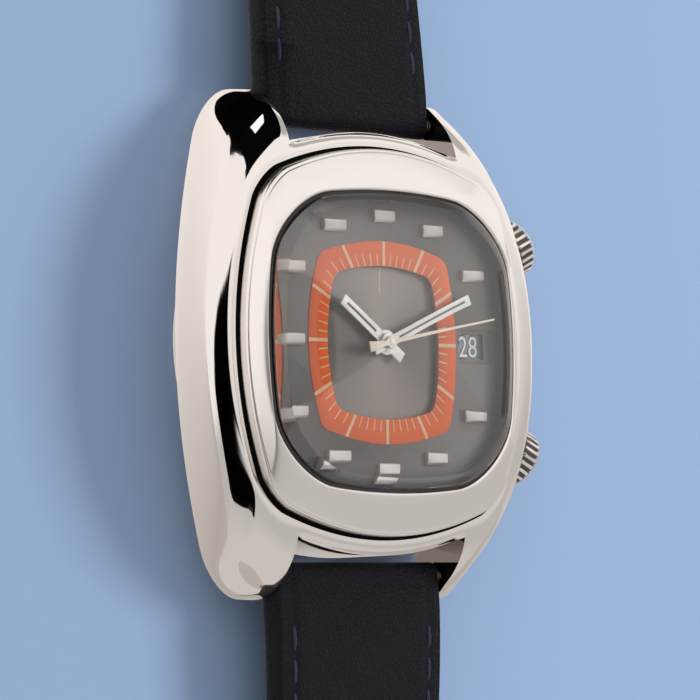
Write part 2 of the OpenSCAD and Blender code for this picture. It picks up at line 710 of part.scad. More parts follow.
module hairspring() color("steelblue") at(balance_at) translate([0, 0, bridge_top + 0.2]) {
    linear_extrude(0.15) polygon(spiral(0.42, 1.75, 7, 0.025, 170));
    tube(0.41, 0.15, 0.15);
    translate([1.78, 0, -0.2 + eps]) cylinder(r = 0.14, h = 0.35);
}

// Motion work under the dial

cannon_teeth = 10;
minute_teeth = 30;
minute_pinion_teeth = 8;
hour_teeth = 32;
motion_m = 2 * motion_gap / (cannon_teeth + minute_teeth);
minute_wheel_z = work_z + 0.1;
hour_wheel_z = minute_wheel_z + wheel_t + 0.12;

module cannon_pinion() color(nickel) difference() {
    union() {
        translate([0, 0, minute_wheel_z - 0.05]) rotate(heading(work_at))
            pinion(cannon_teeth, motion_m, wheel_t + 0.1);
        translate([0, 0, plate_z + 0.35])
            cylinder(r = cannon_out, h = minute_hand_z + hand_t - plate_z - 0.37);
    }
    translate([0, 0, 1]) cylinder(r = second_pipe + slack, h = 12);
}

module minute_wheel() color(brass) at(work_at) difference() {
    union() {
        translate([0, 0, minute_wheel_z]) rotate(heading(work_at) + 180 + 180 / minute_teeth)
            pinion(minute_teeth, motion_m, wheel_t);
        translate([0, 0, minute_wheel_z]) rotate(heading(work_at) + 180)
            pinion(minute_pinion_teeth, motion_m, hour_wheel_z + wheel_t - minute_wheel_z);
    }
    translate([0, 0, 1]) cylinder(r = 0.2, h = 12);
}

module hour_wheel() color(brass) difference() {
    union() {
        translate([0, 0, hour_wheel_z]) rotate(heading(work_at) + 180 / hour_teeth)
            pinion(hour_teeth, motion_m, wheel_t);
        translate([0, 0, hour_wheel_z])
            cylinder(r = hour_pipe, h = hour_hand_z + hand_t - 0.02 - hour_wheel_z);
    }
    translate([0, 0, 1]) cylinder(r = hour_pipe_in, h = 12);
}

// Alarm work

alarm_barrel_teeth = 60;
strike_pinion_teeth = 10;
strike_m = 2 * norm(strike_at - alarm_barrel_at) / (alarm_barrel_teeth + strike_pinion_teeth);
strike_heading = heading(strike_at - alarm_barrel_at);

module alarm_barrel() color(brass) at(alarm_barrel_at) difference() {
    union() {
        translate([0, 0, drum_z]) cylinder(r = alarm_drum_r, h = drum_h + 0.06);
        translate([0, 0, barrel_tooth_z]) rotate(strike_heading)
            linear_extrude(wheel_t) polygon(gear_points(alarm_barrel_teeth, strike_m));
    }
    translate([0, 0, drum_z + 0.15]) cylinder(r = alarm_drum_r - 0.25, h = drum_h - 0.25);
    translate([0, 0, drum_z - 1]) cylinder(r = 0.5 + slack, h = 4);
}

module alarm_ratchet_wheel() color(nickel) at(alarm_barrel_at) ratchet(alarm_ratchet_teeth,
    alarm_ratchet_m, heading(alarm_wheel_at - alarm_barrel_at));

module alarm_crown_wheel() color(nickel) at(alarm_wheel_at)
    crown_wheel_shape(alarm_ratchet_m, heading(alarm_barrel_at - alarm_wheel_at));

star_teeth = 8;
module strike_wheel() color(nickel) at(strike_at) {
    translate([0, 0, barrel_tooth_z - 0.1]) rotate(strike_heading + 180
        + 180 / strike_pinion_teeth) pinion(strike_pinion_teeth, strike_m, wheel_t + 0.2);
    translate([0, 0, escape_z]) linear_extrude(0.2) polygon([for (i = [0:star_teeth - 1])
        let (a = i * 360 / star_teeth, s = 360 / star_teeth)
        each [place(0.8, a), place(1.3, a + s / 2)]]);
    arbor_between(bridge_top + 0.05, plate_z - 0.05);
}

// Hammer with a heavy head beside the pin and a tail beside the star
module alarm_hammer() color(steel) at(hammer_at) {
    translate([0, 0, escape_z]) {
        cylinder(r = 0.6, h = 0.5);
        rotate(heading(pin_at - hammer_at) + 20) {
            translate([0, -0.3, 0]) cube([2.3, 0.6, 0.4]);
            translate([2, -0.7, 0]) cube([1.7, 1.2, 0.9]);
        }
        rotate(heading(strike_at - hammer_at) - 8) translate([0, -0.15, 0])
            cube([1.55, 0.3, 0.2]);
    }
    arbor_between(bridge_top + 0.05, plate_z - 0.05, 0.25);
}

module sound_pin() color(steel) at(pin_at) translate([0, 0, 0.7])
    cylinder(r = 0.4, h = escape_z + 0.9 - 0.7);

// Rotor under the bridge

rotor_z = back_floor + 0.35;
module rotor() color("darkkhaki") difference() {
    union() {
        translate([0, 0, rotor_z + 0.5]) linear_extrude(0.3) half_disc(rotor_d / 2);
        translate([0, 0, rotor_z]) linear_extrude(1.2) difference() {
            half_disc(rotor_d / 2);
            circle(r = rotor_d / 2 - 2.8, $fn = 96);
        }
        translate([0, 0, rotor_z + 0.3]) cylinder(r = 1.8, h = 0.8);
    }
    translate([0, 0, -1]) cylinder(r = bearing_r + slack, h = 6);
}
module half_disc(r) intersection() {
    circle(r = r, $fn = 96);
    rotate(200) translate([-30, 0]) square([60, 30]);
}

bearing_r = 0.9;
module rotor_bearing() color(nickel) difference() {
    union() {
        translate([0, 0, rotor_z + 0.1]) cylinder(r = bearing_r, h = bridge_z - rotor_z - 0.1);
        translate([0, 0, rotor_z + 0.05]) cylinder(r = 1.4, h = 0.2);
        translate([0, 0, bridge_z - 0.25]) cylinder(r = 1.6, h = 0.25);
    }
    translate([0, 0, rotor_z - 0.1]) cylinder(r = 0.35, h = 0.6);
}

// Crowns and winding works

module fluted_crown() difference() {
    translate([0, 0, crown_in]) rotate_extrude() polygon([[0, 0], [crown_d / 2 - 0.3, 0],
        [crown_d / 2, 0.3], [crown_d / 2, crown_l - 0.7], [crown_d / 2 - 0.35, crown_l - 0.3],
        [crown_d / 2 - 1.2, crown_l - 0.05], [0, crown_l]]);
    translate([0, 0, crown_in - 1]) cylinder(d = tube_d + 0.3, h = 2.1);
    translate([0, 0, crown_in]) cylinder(d = stem_d - 0.2, h = crown_l - 0.8);
    for (i = [0:flutes - 1]) rotate(i * 360 / flutes) translate([crown_d / 2 + 0.18, 0,
        crown_in - 1]) cylinder(r = 0.34, h = crown_l + 2, $fn = 16);
}

// Stem with the groove of the setting lever
module stem_shape() {
    groove_at = lever_at;
    translate([0, 0, stem_in]) cylinder(d = stem_d * 0.6, h = pinion_in + pinion_l + 0.6 - stem_in);
    translate([0, 0, pinion_in + pinion_l + 0.5])
        cylinder(d = stem_d, h = groove_at - lever_w / 2 - pinion_in - pinion_l - 0.5);
    translate([0, 0, groove_at - lever_w / 2 - eps]) cylinder(d = stem_d * 0.5, h = lever_w + 2 * eps);
    translate([0, 0, groove_at + lever_w / 2])
        cylinder(d = stem_d, h = crown_in + 0.5 - groove_at - lever_w / 2);
    translate([0, 0, crown_in]) cylinder(d = stem_d - 0.2 - 2 * eps, h = crown_l - 0.8 - eps);
}

// Fork that rides in the stem's groove and travels with it
module setting_lever_shape() difference() {
    translate([-0.9, -0.8, lever_at - lever_w / 2 + slack])
        cube([1.3, 1.6, lever_w - 2 * slack]);
    translate([0, 0, lever_at - 1]) cylinder(d = stem_d * 0.5 + 2 * slack, h = 2);
    translate([0, -stem_d * 0.25 - slack, lever_at - 1]) cube([2, stem_d * 0.5 + 2 * slack, 2]);
}

// Winding pinion with a square-toothed end facing the crown wheel
module winding_pinion_shape() difference() {
    translate([0, 0, pinion_in]) linear_extrude(pinion_l)
        polygon(gear_points(12, pinion_r / 6.75));
    translate([0, 0, pinion_in - 1]) cylinder(d = stem_d * 0.6 + 2 * slack, h = 5);
}

module time_crown() color(steel) crown_axis(-1) fluted_crown();
module time_stem() color(nickel) crown_axis(-1) stem_shape();
module time_setting_lever() color(nickel) crown_axis(-1) setting_lever_shape();
module winding_pinion() color(nickel) crown_axis(-1) winding_pinion_shape();
module alarm_crown() color(steel) crown_axis(1) fluted_crown();
module alarm_stem() color(nickel) crown_axis(1) stem_shape();
module alarm_setting_lever() color(nickel) crown_axis(1) setting_lever_shape();
module alarm_winding_pinion() color(nickel) crown_axis(1) winding_pinion_shape();

// Strap

keeper_w = 5;
keeper_room = 5.2;
fixed_keeper_at = bar_y + buckle_half_l - 9;
free_keeper_at = fixed_keeper_at - 12;
free_travel = 10;
floor_lift = keeper_t + 0.15;
flat_z = floor_lift + strap_thin / 2;
tip_z = strap_thin / 2;
buckle_y = bar_y + buckle_half_l;
buckle_bar_d = 1.3;

module spring_bars() color(steel) for (end = [-1, 1]) translate([0, end * bar_y, bar_z]) {
    rotate([0, 90, 0]) cylinder(d = bar_d, h = lug_gap - 0.1, center = true);
    rotate([0, 90, 0]) cylinder(d = bar_tip_d, h = lug_gap + 2 * bar_tip_l, center = true);
}

// Middle line of a strap half, from its bar to its end: a curve down, then a flat run
curve_n = 12;
pull_out = strap_w * 0.7;
pull_in = strap_w * 0.8;
function bezier(a, b, c, d, t) = mix(mix(mix(a, b, t), mix(b, c, t), t),
    mix(mix(b, c, t), mix(c, d, t), t), t);
function middle_line(rise, end_z, flat_y, len) = concat(
    [for (i = [0:curve_n]) bezier([0, bar_z], [pull_out, bar_z + pull_out * tan(rise)],
        [flat_y - pull_in, end_z], [flat_y, end_z], i / curve_n)],
    [[len, end_z]]);

// Side view of a strap half, thicker at the lugs
function side_view(line, t0, t1) = let (n = len(line) - 1,
    half = [for (i = [0:n]) mix(t0, t1, clamp01((line[i][0] - 2) / 22)) / 2],
    across = [for (i = [0:n]) let (d = unit(line[min(n, i + 1)] - line[max(0, i - 1)]))
        [-d[1], d[0]]])
    concat([for (i = [n:-1:0]) line[i] + across[i] * half[i]],
        [for (i = [0:n]) line[i] - across[i] * half[i]]);

// Plan of a strap half, which tapers and ends square or in a rounded point
function plan(len, pointed) = let (e = strap_end_w / 2, w = strap_w / 2,
    tip = pointed ? [for (i = [0:8]) let (a = 90 - i * 22.5)
        [e * sin(a), len - e * 0.9 + e * 0.9 * pow(cos(a), 1.0)]] : [[e, len], [-e, len]])
    concat([[-w, -2], [w, -2], [w, 3]], tip, [[-w, 3]]);

module strap_half(line, len, end_t, pointed) intersection() {
    translate([-15, 0, 0]) rotate([90, 0, 90]) union() {
        linear_extrude(30) polygon(side_view(line, strap_t, end_t));
        translate([0, bar_z]) linear_extrude(30) circle(d = strap_t);
    }
    translate([0, 0, -1]) linear_extrude(12) polygon(plan(len, pointed));
}

// Slope of each half at its bar, and where its flat run begins
buckle_rise = -1.5;
holed_rise = 5.5;
buckle_flat_at = buckle_half_l * 0.61;
holed_flat_at = hole_half_l * 0.5;
buckle_line = middle_line(buckle_rise, flat_z, buckle_flat_at, buckle_half_l);
holed_line = middle_line(holed_rise, tip_z, holed_flat_at, hole_half_l);

// Bore across the strap, parallel to the bars
module cross_bore(d, y, z, half = strap_w) translate([-half, y, z]) rotate([0, 90, 0])
    cylinder(d = d, h = 2 * half);

module buckle_strap() color(leather) difference() {
    translate([0, bar_y, 0]) union() {
        strap_half(buckle_line, buckle_half_l, strap_thin, false);
        translate([-strap_end_w / 2, buckle_half_l, flat_z]) rotate([0, 90, 0])
            cylinder(d = strap_thin, h = strap_end_w);
    }
    cross_bore(bar_d + 2 * slack, bar_y, bar_z);
    cross_bore(buckle_bar_d + 2 * slack, buckle_y, flat_z);
    translate([-tongue_w / 2 - 0.25, buckle_y - 3.4, -1]) cube([tongue_w + 0.5, 8, 12]);
}

hole_pitch = 6.5;
hole_first = hole_half_l - 18;
module holed_strap() color(leather) rotate(180) difference() {
    translate([0, bar_y, 0]) strap_half(holed_line, hole_half_l, strap_thin, true);
    cross_bore(bar_d + 2 * slack, bar_y, bar_z);
    for (i = [0:hole_count - 1]) translate([0, bar_y + hole_first - i * hole_pitch, -1])
        cylinder(r = 1.1, h = 12);
}

function strap_width(y) = mix(strap_w, strap_end_w, (y - bar_y - 3) / (buckle_half_l - 3));

// Leather loop round the strap half with the buckle
module keeper(y, w) {
    low = floor_lift - keeper_t - 0.05;
    difference() {
        translate([-w / 2 - keeper_t, y, low]) rounded_block([w + 2 * keeper_t, keeper_w,
            keeper_room + 2 * keeper_t], 1.2);
        translate([-w / 2, y - 1, low + keeper_t]) cube([w, keeper_w + 2, keeper_room]);
    }
}

// Block with its edges along Y rounded
module rounded_block(size, r) {
    translate([r, 0, 0]) cube([size[0] - 2 * r, size[1], size[2]]);
    translate([0, 0, r]) cube([size[0], size[1], size[2] - 2 * r]);
    for (x = [r, size[0] - r], z = [r, size[2] - r]) translate([x, 0, z]) rotate([-90, 0, 0])
        cylinder(r = r, h = size[1]);
}

module fixed_keeper() color(leather) keeper(fixed_keeper_at, strap_width(fixed_keeper_at) + 0.1);
module free_keeper() color(leather)
    keeper(free_keeper_at, strap_width(free_keeper_at - free_travel) + 0.4);

// Buckle

tongue_w = 2.2;
frame_in = strap_end_w / 2 + 0.2;
frame_out = frame_in + buckle_wire;
front_y = buckle_y + buckle_reach;

frame_corner = 2.4;
frame_t = buckle_wire * 0.9;
eye_r = buckle_wire * 0.55;
module buckle_frame() color(steel) difference() {
    union() {
        translate([0, 0, flat_z - frame_t / 2]) linear_extrude(frame_t) difference() {
            frame_outline(frame_out, front_y + buckle_wire / 2, frame_corner);
            frame_outline(frame_in, front_y - buckle_wire / 2, 0.5);
        }
        for (x = [-1, 1]) translate([x * (frame_in + buckle_wire / 2), buckle_y, flat_z])
            rotate([0, 90, 0]) cylinder(r = eye_r, h = buckle_wire, center = true);
    }
    cross_bore(buckle_bar_d * 0.6 + 2 * slack, buckle_y, flat_z, frame_in + buckle_bar_hold);
}

// Outline that is open at the bar and has round corners at the front
module frame_outline(half, front, r) polygon(concat([[-half, buckle_y], [half, buckle_y]],
    [for (i = [0:8]) [half - r, front - r] + place(r, i * 11.25)],
    [for (i = [0:8]) [r - half, front - r] + place(r, 90 + i * 11.25)]));

buckle_bar_hold = 1.1;

module buckle_bar() color(steel) translate([0, buckle_y, flat_z]) rotate([0, 90, 0]) {
    cylinder(d = buckle_bar_d, h = 2 * frame_in - 0.1, center = true);
    cylinder(d = buckle_bar_d * 0.6, h = 2 * (frame_in + buckle_bar_hold - 0.05), center = true);
}

// Tongue that curls round the bar and lies on the front of the frame
tongue_t = 0.8;
module buckle_tongue() color(steel) difference() {
    rise = buckle_wire / 2 + tongue_t / 2 + 0.05;
    union() {
        translate([-tongue_w / 2, buckle_y, flat_z]) rotate([0, 90, 0])
            cylinder(r = buckle_bar_d / 2 + slack + 0.55, h = tongue_w);
        translate([-tongue_w / 2, 0, 0]) rotate([90, 0, 90]) linear_extrude(tongue_w) polygon([
            [buckle_y, flat_z + 0.3], [front_y - 2, flat_z + rise - tongue_t / 2],
            [front_y + 1.1, flat_z + rise - tongue_t / 2],
            [front_y + 1.1, flat_z + rise + tongue_t * 0.2],
            [front_y + 0.6, flat_z + rise + tongue_t / 2],
            [front_y - 2, flat_z + rise + tongue_t / 2], [buckle_y, flat_z + 1.2]]);
    }
    cross_bore(buckle_bar_d + 2 * slack, buckle_y, flat_z);
}

middle_case();
bezel();
crystal();
crystal_gasket();
case_back();
back_gasket();
crown_tubes();
movement_ring();
dial();
minute_track();
hour_markers();
alarm_disc();
date_disc();
hour_hand();
minute_hand();
second_hand();
main_plate();
train_bridge();
balance_cock();
jewels();
bridge_screws();
going_barrel();
mainspring();
ratchet_wheel();
centre_wheel();
third_wheel();
fourth_wheel();
escape_wheel();
pallet_fork();
balance_wheel();
hairspring();
cannon_pinion();
minute_wheel();
hour_wheel();
alarm_barrel();
alarm_ratchet_wheel();
strike_wheel();
alarm_hammer();
sound_pin();
rotor();
rotor_bearing();
time_crown();
time_stem();
time_setting_lever();
winding_pinion();
crown_wheel();
alarm_crown();
alarm_stem();
alarm_setting_lever();
alarm_winding_pinion();
alarm_crown_wheel();
spring_bars();
buckle_strap();
holed_strap();
fixed_keeper();
free_keeper();
buckle_frame();
buckle_bar();
buckle_tongue();
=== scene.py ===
import json
import math
import random

import bmesh
import bpy
import numpy as np
from mathutils import Matrix, Vector
from mathutils.bvhtree import BVHTree
from mathutils.geometry import barycentric_transform


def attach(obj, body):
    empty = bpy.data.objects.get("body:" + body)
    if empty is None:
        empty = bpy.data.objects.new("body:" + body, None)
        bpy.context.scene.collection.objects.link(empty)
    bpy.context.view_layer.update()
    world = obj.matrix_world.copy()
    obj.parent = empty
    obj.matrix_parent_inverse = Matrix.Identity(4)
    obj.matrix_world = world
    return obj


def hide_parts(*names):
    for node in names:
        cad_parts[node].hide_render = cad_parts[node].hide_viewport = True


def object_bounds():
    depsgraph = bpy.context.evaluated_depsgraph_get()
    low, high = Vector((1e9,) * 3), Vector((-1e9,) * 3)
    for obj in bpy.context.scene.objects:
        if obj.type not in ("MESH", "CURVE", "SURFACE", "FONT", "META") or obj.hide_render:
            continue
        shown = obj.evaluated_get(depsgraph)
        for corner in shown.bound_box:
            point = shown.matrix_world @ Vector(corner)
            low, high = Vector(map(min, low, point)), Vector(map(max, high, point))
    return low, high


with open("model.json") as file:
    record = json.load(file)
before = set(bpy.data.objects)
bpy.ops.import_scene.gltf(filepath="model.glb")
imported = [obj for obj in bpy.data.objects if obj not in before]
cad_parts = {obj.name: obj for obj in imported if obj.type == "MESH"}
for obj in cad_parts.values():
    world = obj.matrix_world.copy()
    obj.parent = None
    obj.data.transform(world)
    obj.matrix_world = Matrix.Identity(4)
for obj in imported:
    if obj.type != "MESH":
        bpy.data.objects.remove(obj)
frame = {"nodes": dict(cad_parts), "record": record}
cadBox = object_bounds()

mm = 0.001
random.seed(11)
scene = bpy.context.scene

# Camera at the angle of the photograph: round towards 9 o'clock, a little below the dial
view = {"round": 42.54, "below": -4.22, "roll": -1.26, "distance": 396.53,
        "aside": (-2.71, -0.62), "lens": 227.15, "sensor": 36.0, "dialHeight": 9.3}


def placeCamera():
    a, b, c = (math.radians(view[k]) for k in ("round", "below", "roll"))
    out = Vector((-math.sin(a) * math.cos(b), math.sin(b), math.cos(a) * math.cos(b)))
    right = Vector((0, 1, 0)).cross(out).normalized()
    up = out.cross(right)
    r = right * math.cos(c) + up * math.sin(c)
    u = up * math.cos(c) - right * math.sin(c)
    at = (Vector((0, 0, view["dialHeight"])) + out * view["distance"]
          + r * view["aside"][0] + u * view["aside"][1]) * mm
    data = bpy.data.cameras.new("camera")
    data.sensor_width = view["sensor"]
    data.lens = view["lens"]
    data.clip_start = 0.01
    camera = bpy.data.objects.new("camera", data)
    scene.collection.objects.link(camera)
    camera.matrix_world = Matrix.Translation(at) @ Matrix((r, u, out)).transposed().to_4x4()
    scene.camera = camera


placeCamera()
scene.view_settings.view_transform = "Standard"
scene.view_settings.look = "None"
print("camera placed")

# Sizes that the pieces share, in millimetres as in the model
watch = {"dialZ": 9.3, "dialUnder": 8.9, "backH": 2.3, "bodyL": 38.1, "lugX": 10.2,
         "lugRootSag": 4.6, "glassSeat": 0.7, "stemZ": 5.6, "crownAngle": 26.0, "crownIn": 20.9,
         "crownD": 5.6, "crownL": 2.5, "barY": 20.8, "barZ": 4.8}

# Cushion outlines: width, length, bow of the sides, bow of the ends, share of the corners
cushions = {"ridge": (39.8, 45.0, 6.8, 0.4, 0.14), "foot": (37.1, 46.0, 3.6, 0.4, 0.2),
            "bezel": (33.8, 34.9, 3.0, 3.2, 0.16), "glass": (29.8, 27.0, 1.5, 1.4, 0.45),
            "track": (18.0, 18.0, 1.386, 1.35, 0.08), "opening": (13.8, 13.8, 1.035, 0.8832, 0.12)}


def mix(a, b, t):
    return a + (b - a) * t


def clamp(t, low=0.0, high=1.0):
    return max(low, min(high, t))


def smooth(t):
    t = clamp(t)
    return t * t * (3 - 2 * t)


# A square of half width 1 with round corners, walked once round
def unitRing(corner, sideSteps=36, cornerSteps=14):
    quarter = [(1, (1 - corner) * (2 * i / sideSteps - 1)) for i in range(sideSteps)]
    for i in range(cornerSteps):
        a = math.pi / 2 * i / cornerSteps
        quarter.append((1 - corner + corner * math.cos(a), 1 - corner + corner * math.sin(a)))
    points = []
    for turns in range(4):
        points += quarter
        quarter = [(-y, x) for x, y in quarter]
    return np.array(points)


# One of the watch's cushion outlines, or one that runs inside it
def cushion(name, inset=0.0):
    wide, long, sideBow, endBow, corner = cushions[name]
    p = unitRing(corner)
    x, y = p[:, 0], p[:, 1]
    return np.stack([(wide / 2 - inset - sideBow * y * y) * x,
                     (long / 2 - inset - endBow * x * x) * y], 1)


def raised(ring, z):
    return np.column_stack([ring, np.full(len(ring), float(z))])


# Rounds the corners of a profile that is given as a list of rings
def roundedProfile(rings, shares, steps, closed=False):
    n, out = len(rings), []
    for i, ring in enumerate(rings):
        share = shares[i] if isinstance(shares, list) else shares
        if not closed and i in (0, n - 1):
            out.append(ring)
            continue
        before, after = mix(ring, rings[i - 1], share), mix(ring, rings[(i + 1) % n], share)
        for k in range(steps + 1):
            t = k / steps
            out.append(mix(mix(before, ring, t), mix(ring, after, t), t))
    return out


def newObject(name, data):
    piece = bpy.data.objects.new(name, data)
    scene.collection.objects.link(piece)
    return piece


def meshObject(name, points, faces):
    mesh = bpy.data.meshes.new(name)
    mesh.from_pydata([tuple(float(c) * mm for c in p) for p in points], [], faces)
    mesh.validate()
    return newObject(name, mesh)


def loftFaces(count, rings, closed=False):
    faces = []
    for j in range(rings if closed else rings - 1):
        a, b = j * count, (j + 1) % rings * count
        for i in range(count):
            k = (i + 1) % count
            faces.append((a + i, a + k, b + k, b + i))
    if not closed:
        faces.append(tuple(range(count - 1, -1, -1)))
        faces.append(tuple((rings - 1) * count + i for i in range(count)))
    return faces


def loft(name, rings, closed=False):
    return meshObject(name, np.concatenate(rings), loftFaces(len(rings[0]), len(rings), closed))


def extruded(name, outline, z0, z1):
    points = [(x, y, z) for z in (z0, z1) for x, y in outline]
    return meshObject(name, points, loftFaces(len(outline), 2))


def box(x0, x1, y0, y1):
    return [(x0, y0), (x1, y0), (x1, y1), (x0, y1)]


# Points round (cx, cy), with both ends of the sweep
def roundCorner(cx, cy, r, start, sweep, steps):
    angles = [math.radians(start + sweep * i / steps) for i in range(steps + 1)]
    return [(cx + r * math.cos(a), cy + r * math.sin(a)) for a in angles]


def roundedBox(cx, cy, w, h, r, steps=4):
    points = []
    for k, (sx, sy) in enumerate(((1, 1), (-1, 1), (-1, -1), (1, -1))):
        points += roundCorner(cx + sx * (w / 2 - r), cy + sy * (h / 2 - r), r, 90 * k, 90, steps)
    return points


# Points round the middle, without the end of the sweep
def arc(r, steps=40, start=0.0, sweep=360.0):
    return roundCorner(0, 0, r, start, sweep, steps)[:-1]


def moved(x, y, z):
    return Matrix.Translation((x, y, z))


acrossWatch = Matrix.Rotation(math.pi / 2, 4, "Y")      # lays along X what stood along Z


# The place is in millimetres, and the mesh in metres
def placeMesh(piece, place):
    place = place.copy()
    place.translation = place.translation * mm
    piece.data.transform(place)


def cylinder(name, radius, length, place, steps):
    piece = extruded(name, arc(radius, steps), 0, length)
    placeMesh(piece, place)
    return piece


# A cylinder along X, from x on
def rod(name, radius, length, x, y, z, steps=32):
    return cylinder(name, radius, length, moved(x, y, z) @ acrossWatch, steps)


def shadeSmooth(piece, angle):
    mesh = piece.data
    mesh.polygons.foreach_set("use_smooth", [True] * len(mesh.polygons))
    mesh.set_sharp_from_angle(angle=math.radians(angle))


# Joins doubled points and turns the faces outwards, and with an angle also shades smooth up to it
def tidyMesh(piece, gap=0.0002, angle=None):
    bm = bmesh.new()
    bm.from_mesh(piece.data)
    bmesh.ops.remove_doubles(bm, verts=bm.verts, dist=gap * mm)
    bmesh.ops.dissolve_degenerate(bm, edges=bm.edges, dist=gap * mm)
    bmesh.ops.recalc_face_normals(bm, faces=bm.faces)
    bm.to_mesh(piece.data)
    bm.free()
    if angle:
        shadeSmooth(piece, angle)
    return piece


def bakeModifiers(piece):
    bpy.context.view_layer.update()
    graph = bpy.context.evaluated_depsgraph_get()
    made = bpy.data.meshes.new_from_object(piece.evaluated_get(graph), depsgraph=graph)
    made.name = piece.name
    piece.modifiers.clear()
    old, piece.data = piece.data, made
    if old.users == 0:
        bpy.data.meshes.remove(old)


# Takes the cutters out of the piece, or joins them to it, and deletes them
def cutAway(piece, cutters, how="DIFFERENCE"):
    for cutter in cutters:
        m = piece.modifiers.new("cut", "BOOLEAN")
        m.operation, m.solver, m.object = how, "EXACT", cutter
    bakeModifiers(piece)
    for cutter in cutters:
        bpy.data.objects.remove(cutter)


def softenEdges(piece, width, segments=2, angle=30):
    m = piece.modifiers.new("soften", "BEVEL")
    m.width, m.segments, m.limit_method = width * mm, segments, "ANGLE"
    m.angle_limit = math.radians(angle)
    m.use_clamp_overlap = True
    bakeModifiers(piece)
    shadeSmooth(piece, 40)


# A cut mesh gets back the smooth normals of the uncut one, away from the cuts
def keepNormals(piece, source, near=0.004, angle=32, sameFace=0.95, sameSide=0.5):
    shadeSmooth(source, 180)
    source.data.calc_loop_triangles()
    points = [v.co.copy() for v in source.data.vertices]
    normals = [v.normal.copy() for v in source.data.vertices]
    tris = [tuple(t.vertices) for t in source.data.loop_triangles]
    tree = BVHTree.FromPolygons(points, tris)
    shadeSmooth(piece, angle)
    mesh = piece.data
    wanted = [Vector(c.vector) for c in mesh.corner_normals]
    for face in mesh.polygons:
        spot, flat, index, gap = tree.find_nearest(face.center)
        if gap is None or gap > near * mm or abs(flat.dot(face.normal)) < sameFace:
            continue
        for corner in face.loop_indices:
            co = mesh.vertices[mesh.loops[corner].vertex_index].co
            spot, flat, index, gap = tree.find_nearest(co)
            if index is None or gap > near * mm:
                continue
            a, b, c = tris[index]
            n = barycentric_transform(spot, points[a], points[b], points[c],
                                      normals[a], normals[b], normals[c])
            if n.dot(face.normal) > sameSide:
                wanted[corner] = n.normalized()
    mesh.normals_split_custom_set([tuple(n) for n in wanted])


def crownAxis(side):
    turn = Matrix.Rotation(math.radians(side * watch["crownAngle"]), 4, "Z")
    return turn @ moved(0, 0, watch["stemZ"]) @ acrossWatch


# Middle case: rings from the sole up the flank, over the ridge and in to the bezel's groove

caseShape = {"footZ": 2.7, "soleIn": 0.7, "ridgeZ": 8.7, "lugDrop": 3.5, "dropReach": 20.0,
             "middleDrop": 0.57, "dropFrom": 10.0, "dropOver": 4.5, "shoulderPower": 2.2,
             "groove": 0.6, "rootTurn": 0.8, "rootDrop": 0.75, "rootOver": 0.7, "rootFade": 1.6,
             "flankBulge": 0.037, "tipBulge": 0.008,
             "soleTurn": (0.6, 0.93), "flankSteps": (0.9, 0.11, 16),
             "ridgeTurn": (0.08, 0.9), "shoulderSteps": (0.87, 0.0, 30),
             "below": 1.3, "above": 10.3, "boreR": 15.8, "dialRoom": 0.55, "dialLip": 0.002,
             "dialTop": 11.0,
             "tubeHole": {"r": 1.0, "long": 12.0, "at": 13.8},
             "crownSeat": {"room": 0.25, "long": 6.0, "at": 20.7},
             "barHole": {"r": 0.45, "long": 1.95, "in": 1.0}, "gapReach": 9.0, "gapSteps": 48}


# How far the case's end bows in between the lugs, at x from the middle
def rootSag(x):
    return watch["lugRootSag"] * (x / cushions["bezel"][0] * 2) ** 2


def caseRings():
    c, w = caseShape, watch
    top = cushion("ridge")
    x, y = np.abs(top[:, 0]), np.abs(top[:, 1])
    side = np.clip((x - c["dropFrom"]) / c["dropOver"], 0, 1)
    side = side * side * (3 - 2 * side)
    drop = c["lugDrop"] * (y / c["dropReach"]) ** 4 * mix(c["middleDrop"], 1, side)
    ridge = np.column_stack([top, c["ridgeZ"] - drop])
    foot = raised(cushion("foot"), c["footZ"])
    sole = raised(cushion("foot", c["soleIn"]), w["backH"])
    inner = raised(cushion("bezel", -c["groove"]), w["dialZ"])

    def shoulder(t):
        ring = mix(inner, ridge, t)
        ring[:, 2] = mix(w["dialZ"], ridge[:, 2], t ** c["shoulderPower"])
        x, y = np.abs(ring[:, 0]), np.abs(ring[:, 1])
        root = w["bodyL"] / 2 - rootSag(x)
        over = (np.clip((y - root) / c["rootTurn"] + 1, 0, 1)
                * np.clip((w["lugX"] + c["rootOver"] - x) / c["rootFade"], 0, 1))
        ring[:, 2] -= c["rootDrop"] * c["rootTurn"] * over ** 2
        return ring

    def flank(t):
        ring, s = mix(ridge, foot, t), 4 * t * (1 - t)
        ring[:, 0] *= 1 + c["flankBulge"] * s
        ring[:, 1] *= 1 + c["tipBulge"] * s
        return ring

    def turn(a, corner, b, steps=6):
        return [mix(mix(a, corner, k / steps), mix(corner, b, k / steps), k / steps)
                for k in range(steps + 1)]

    soleShare, low = c["soleTurn"]
    high, shoulderShare = c["ridgeTurn"]
    rings = [sole] + turn(mix(foot, sole, soleShare), foot, flank(low))
    rings += [flank(t) for t in np.linspace(*c["flankSteps"])]
    rings += turn(flank(high), ridge, shoulder(shoulderShare))
    rings += [shoulder(t) for t in np.linspace(*c["shoulderSteps"])]
    return rings


def lugGap(end):
    c, w = caseShape, watch
    outline = [(w["lugX"], c["gapReach"]), (-w["lugX"], c["gapReach"])]
    for i in range(c["gapSteps"] + 1):
        x = w["lugX"] * (2 * i / c["gapSteps"] - 1)
        outline.append((x, -rootSag(x)))
    outline = [(end * x, end * (y + w["bodyL"] / 2)) for x, y in outline]
    return extruded("lugGap", outline, c["below"], c["above"])


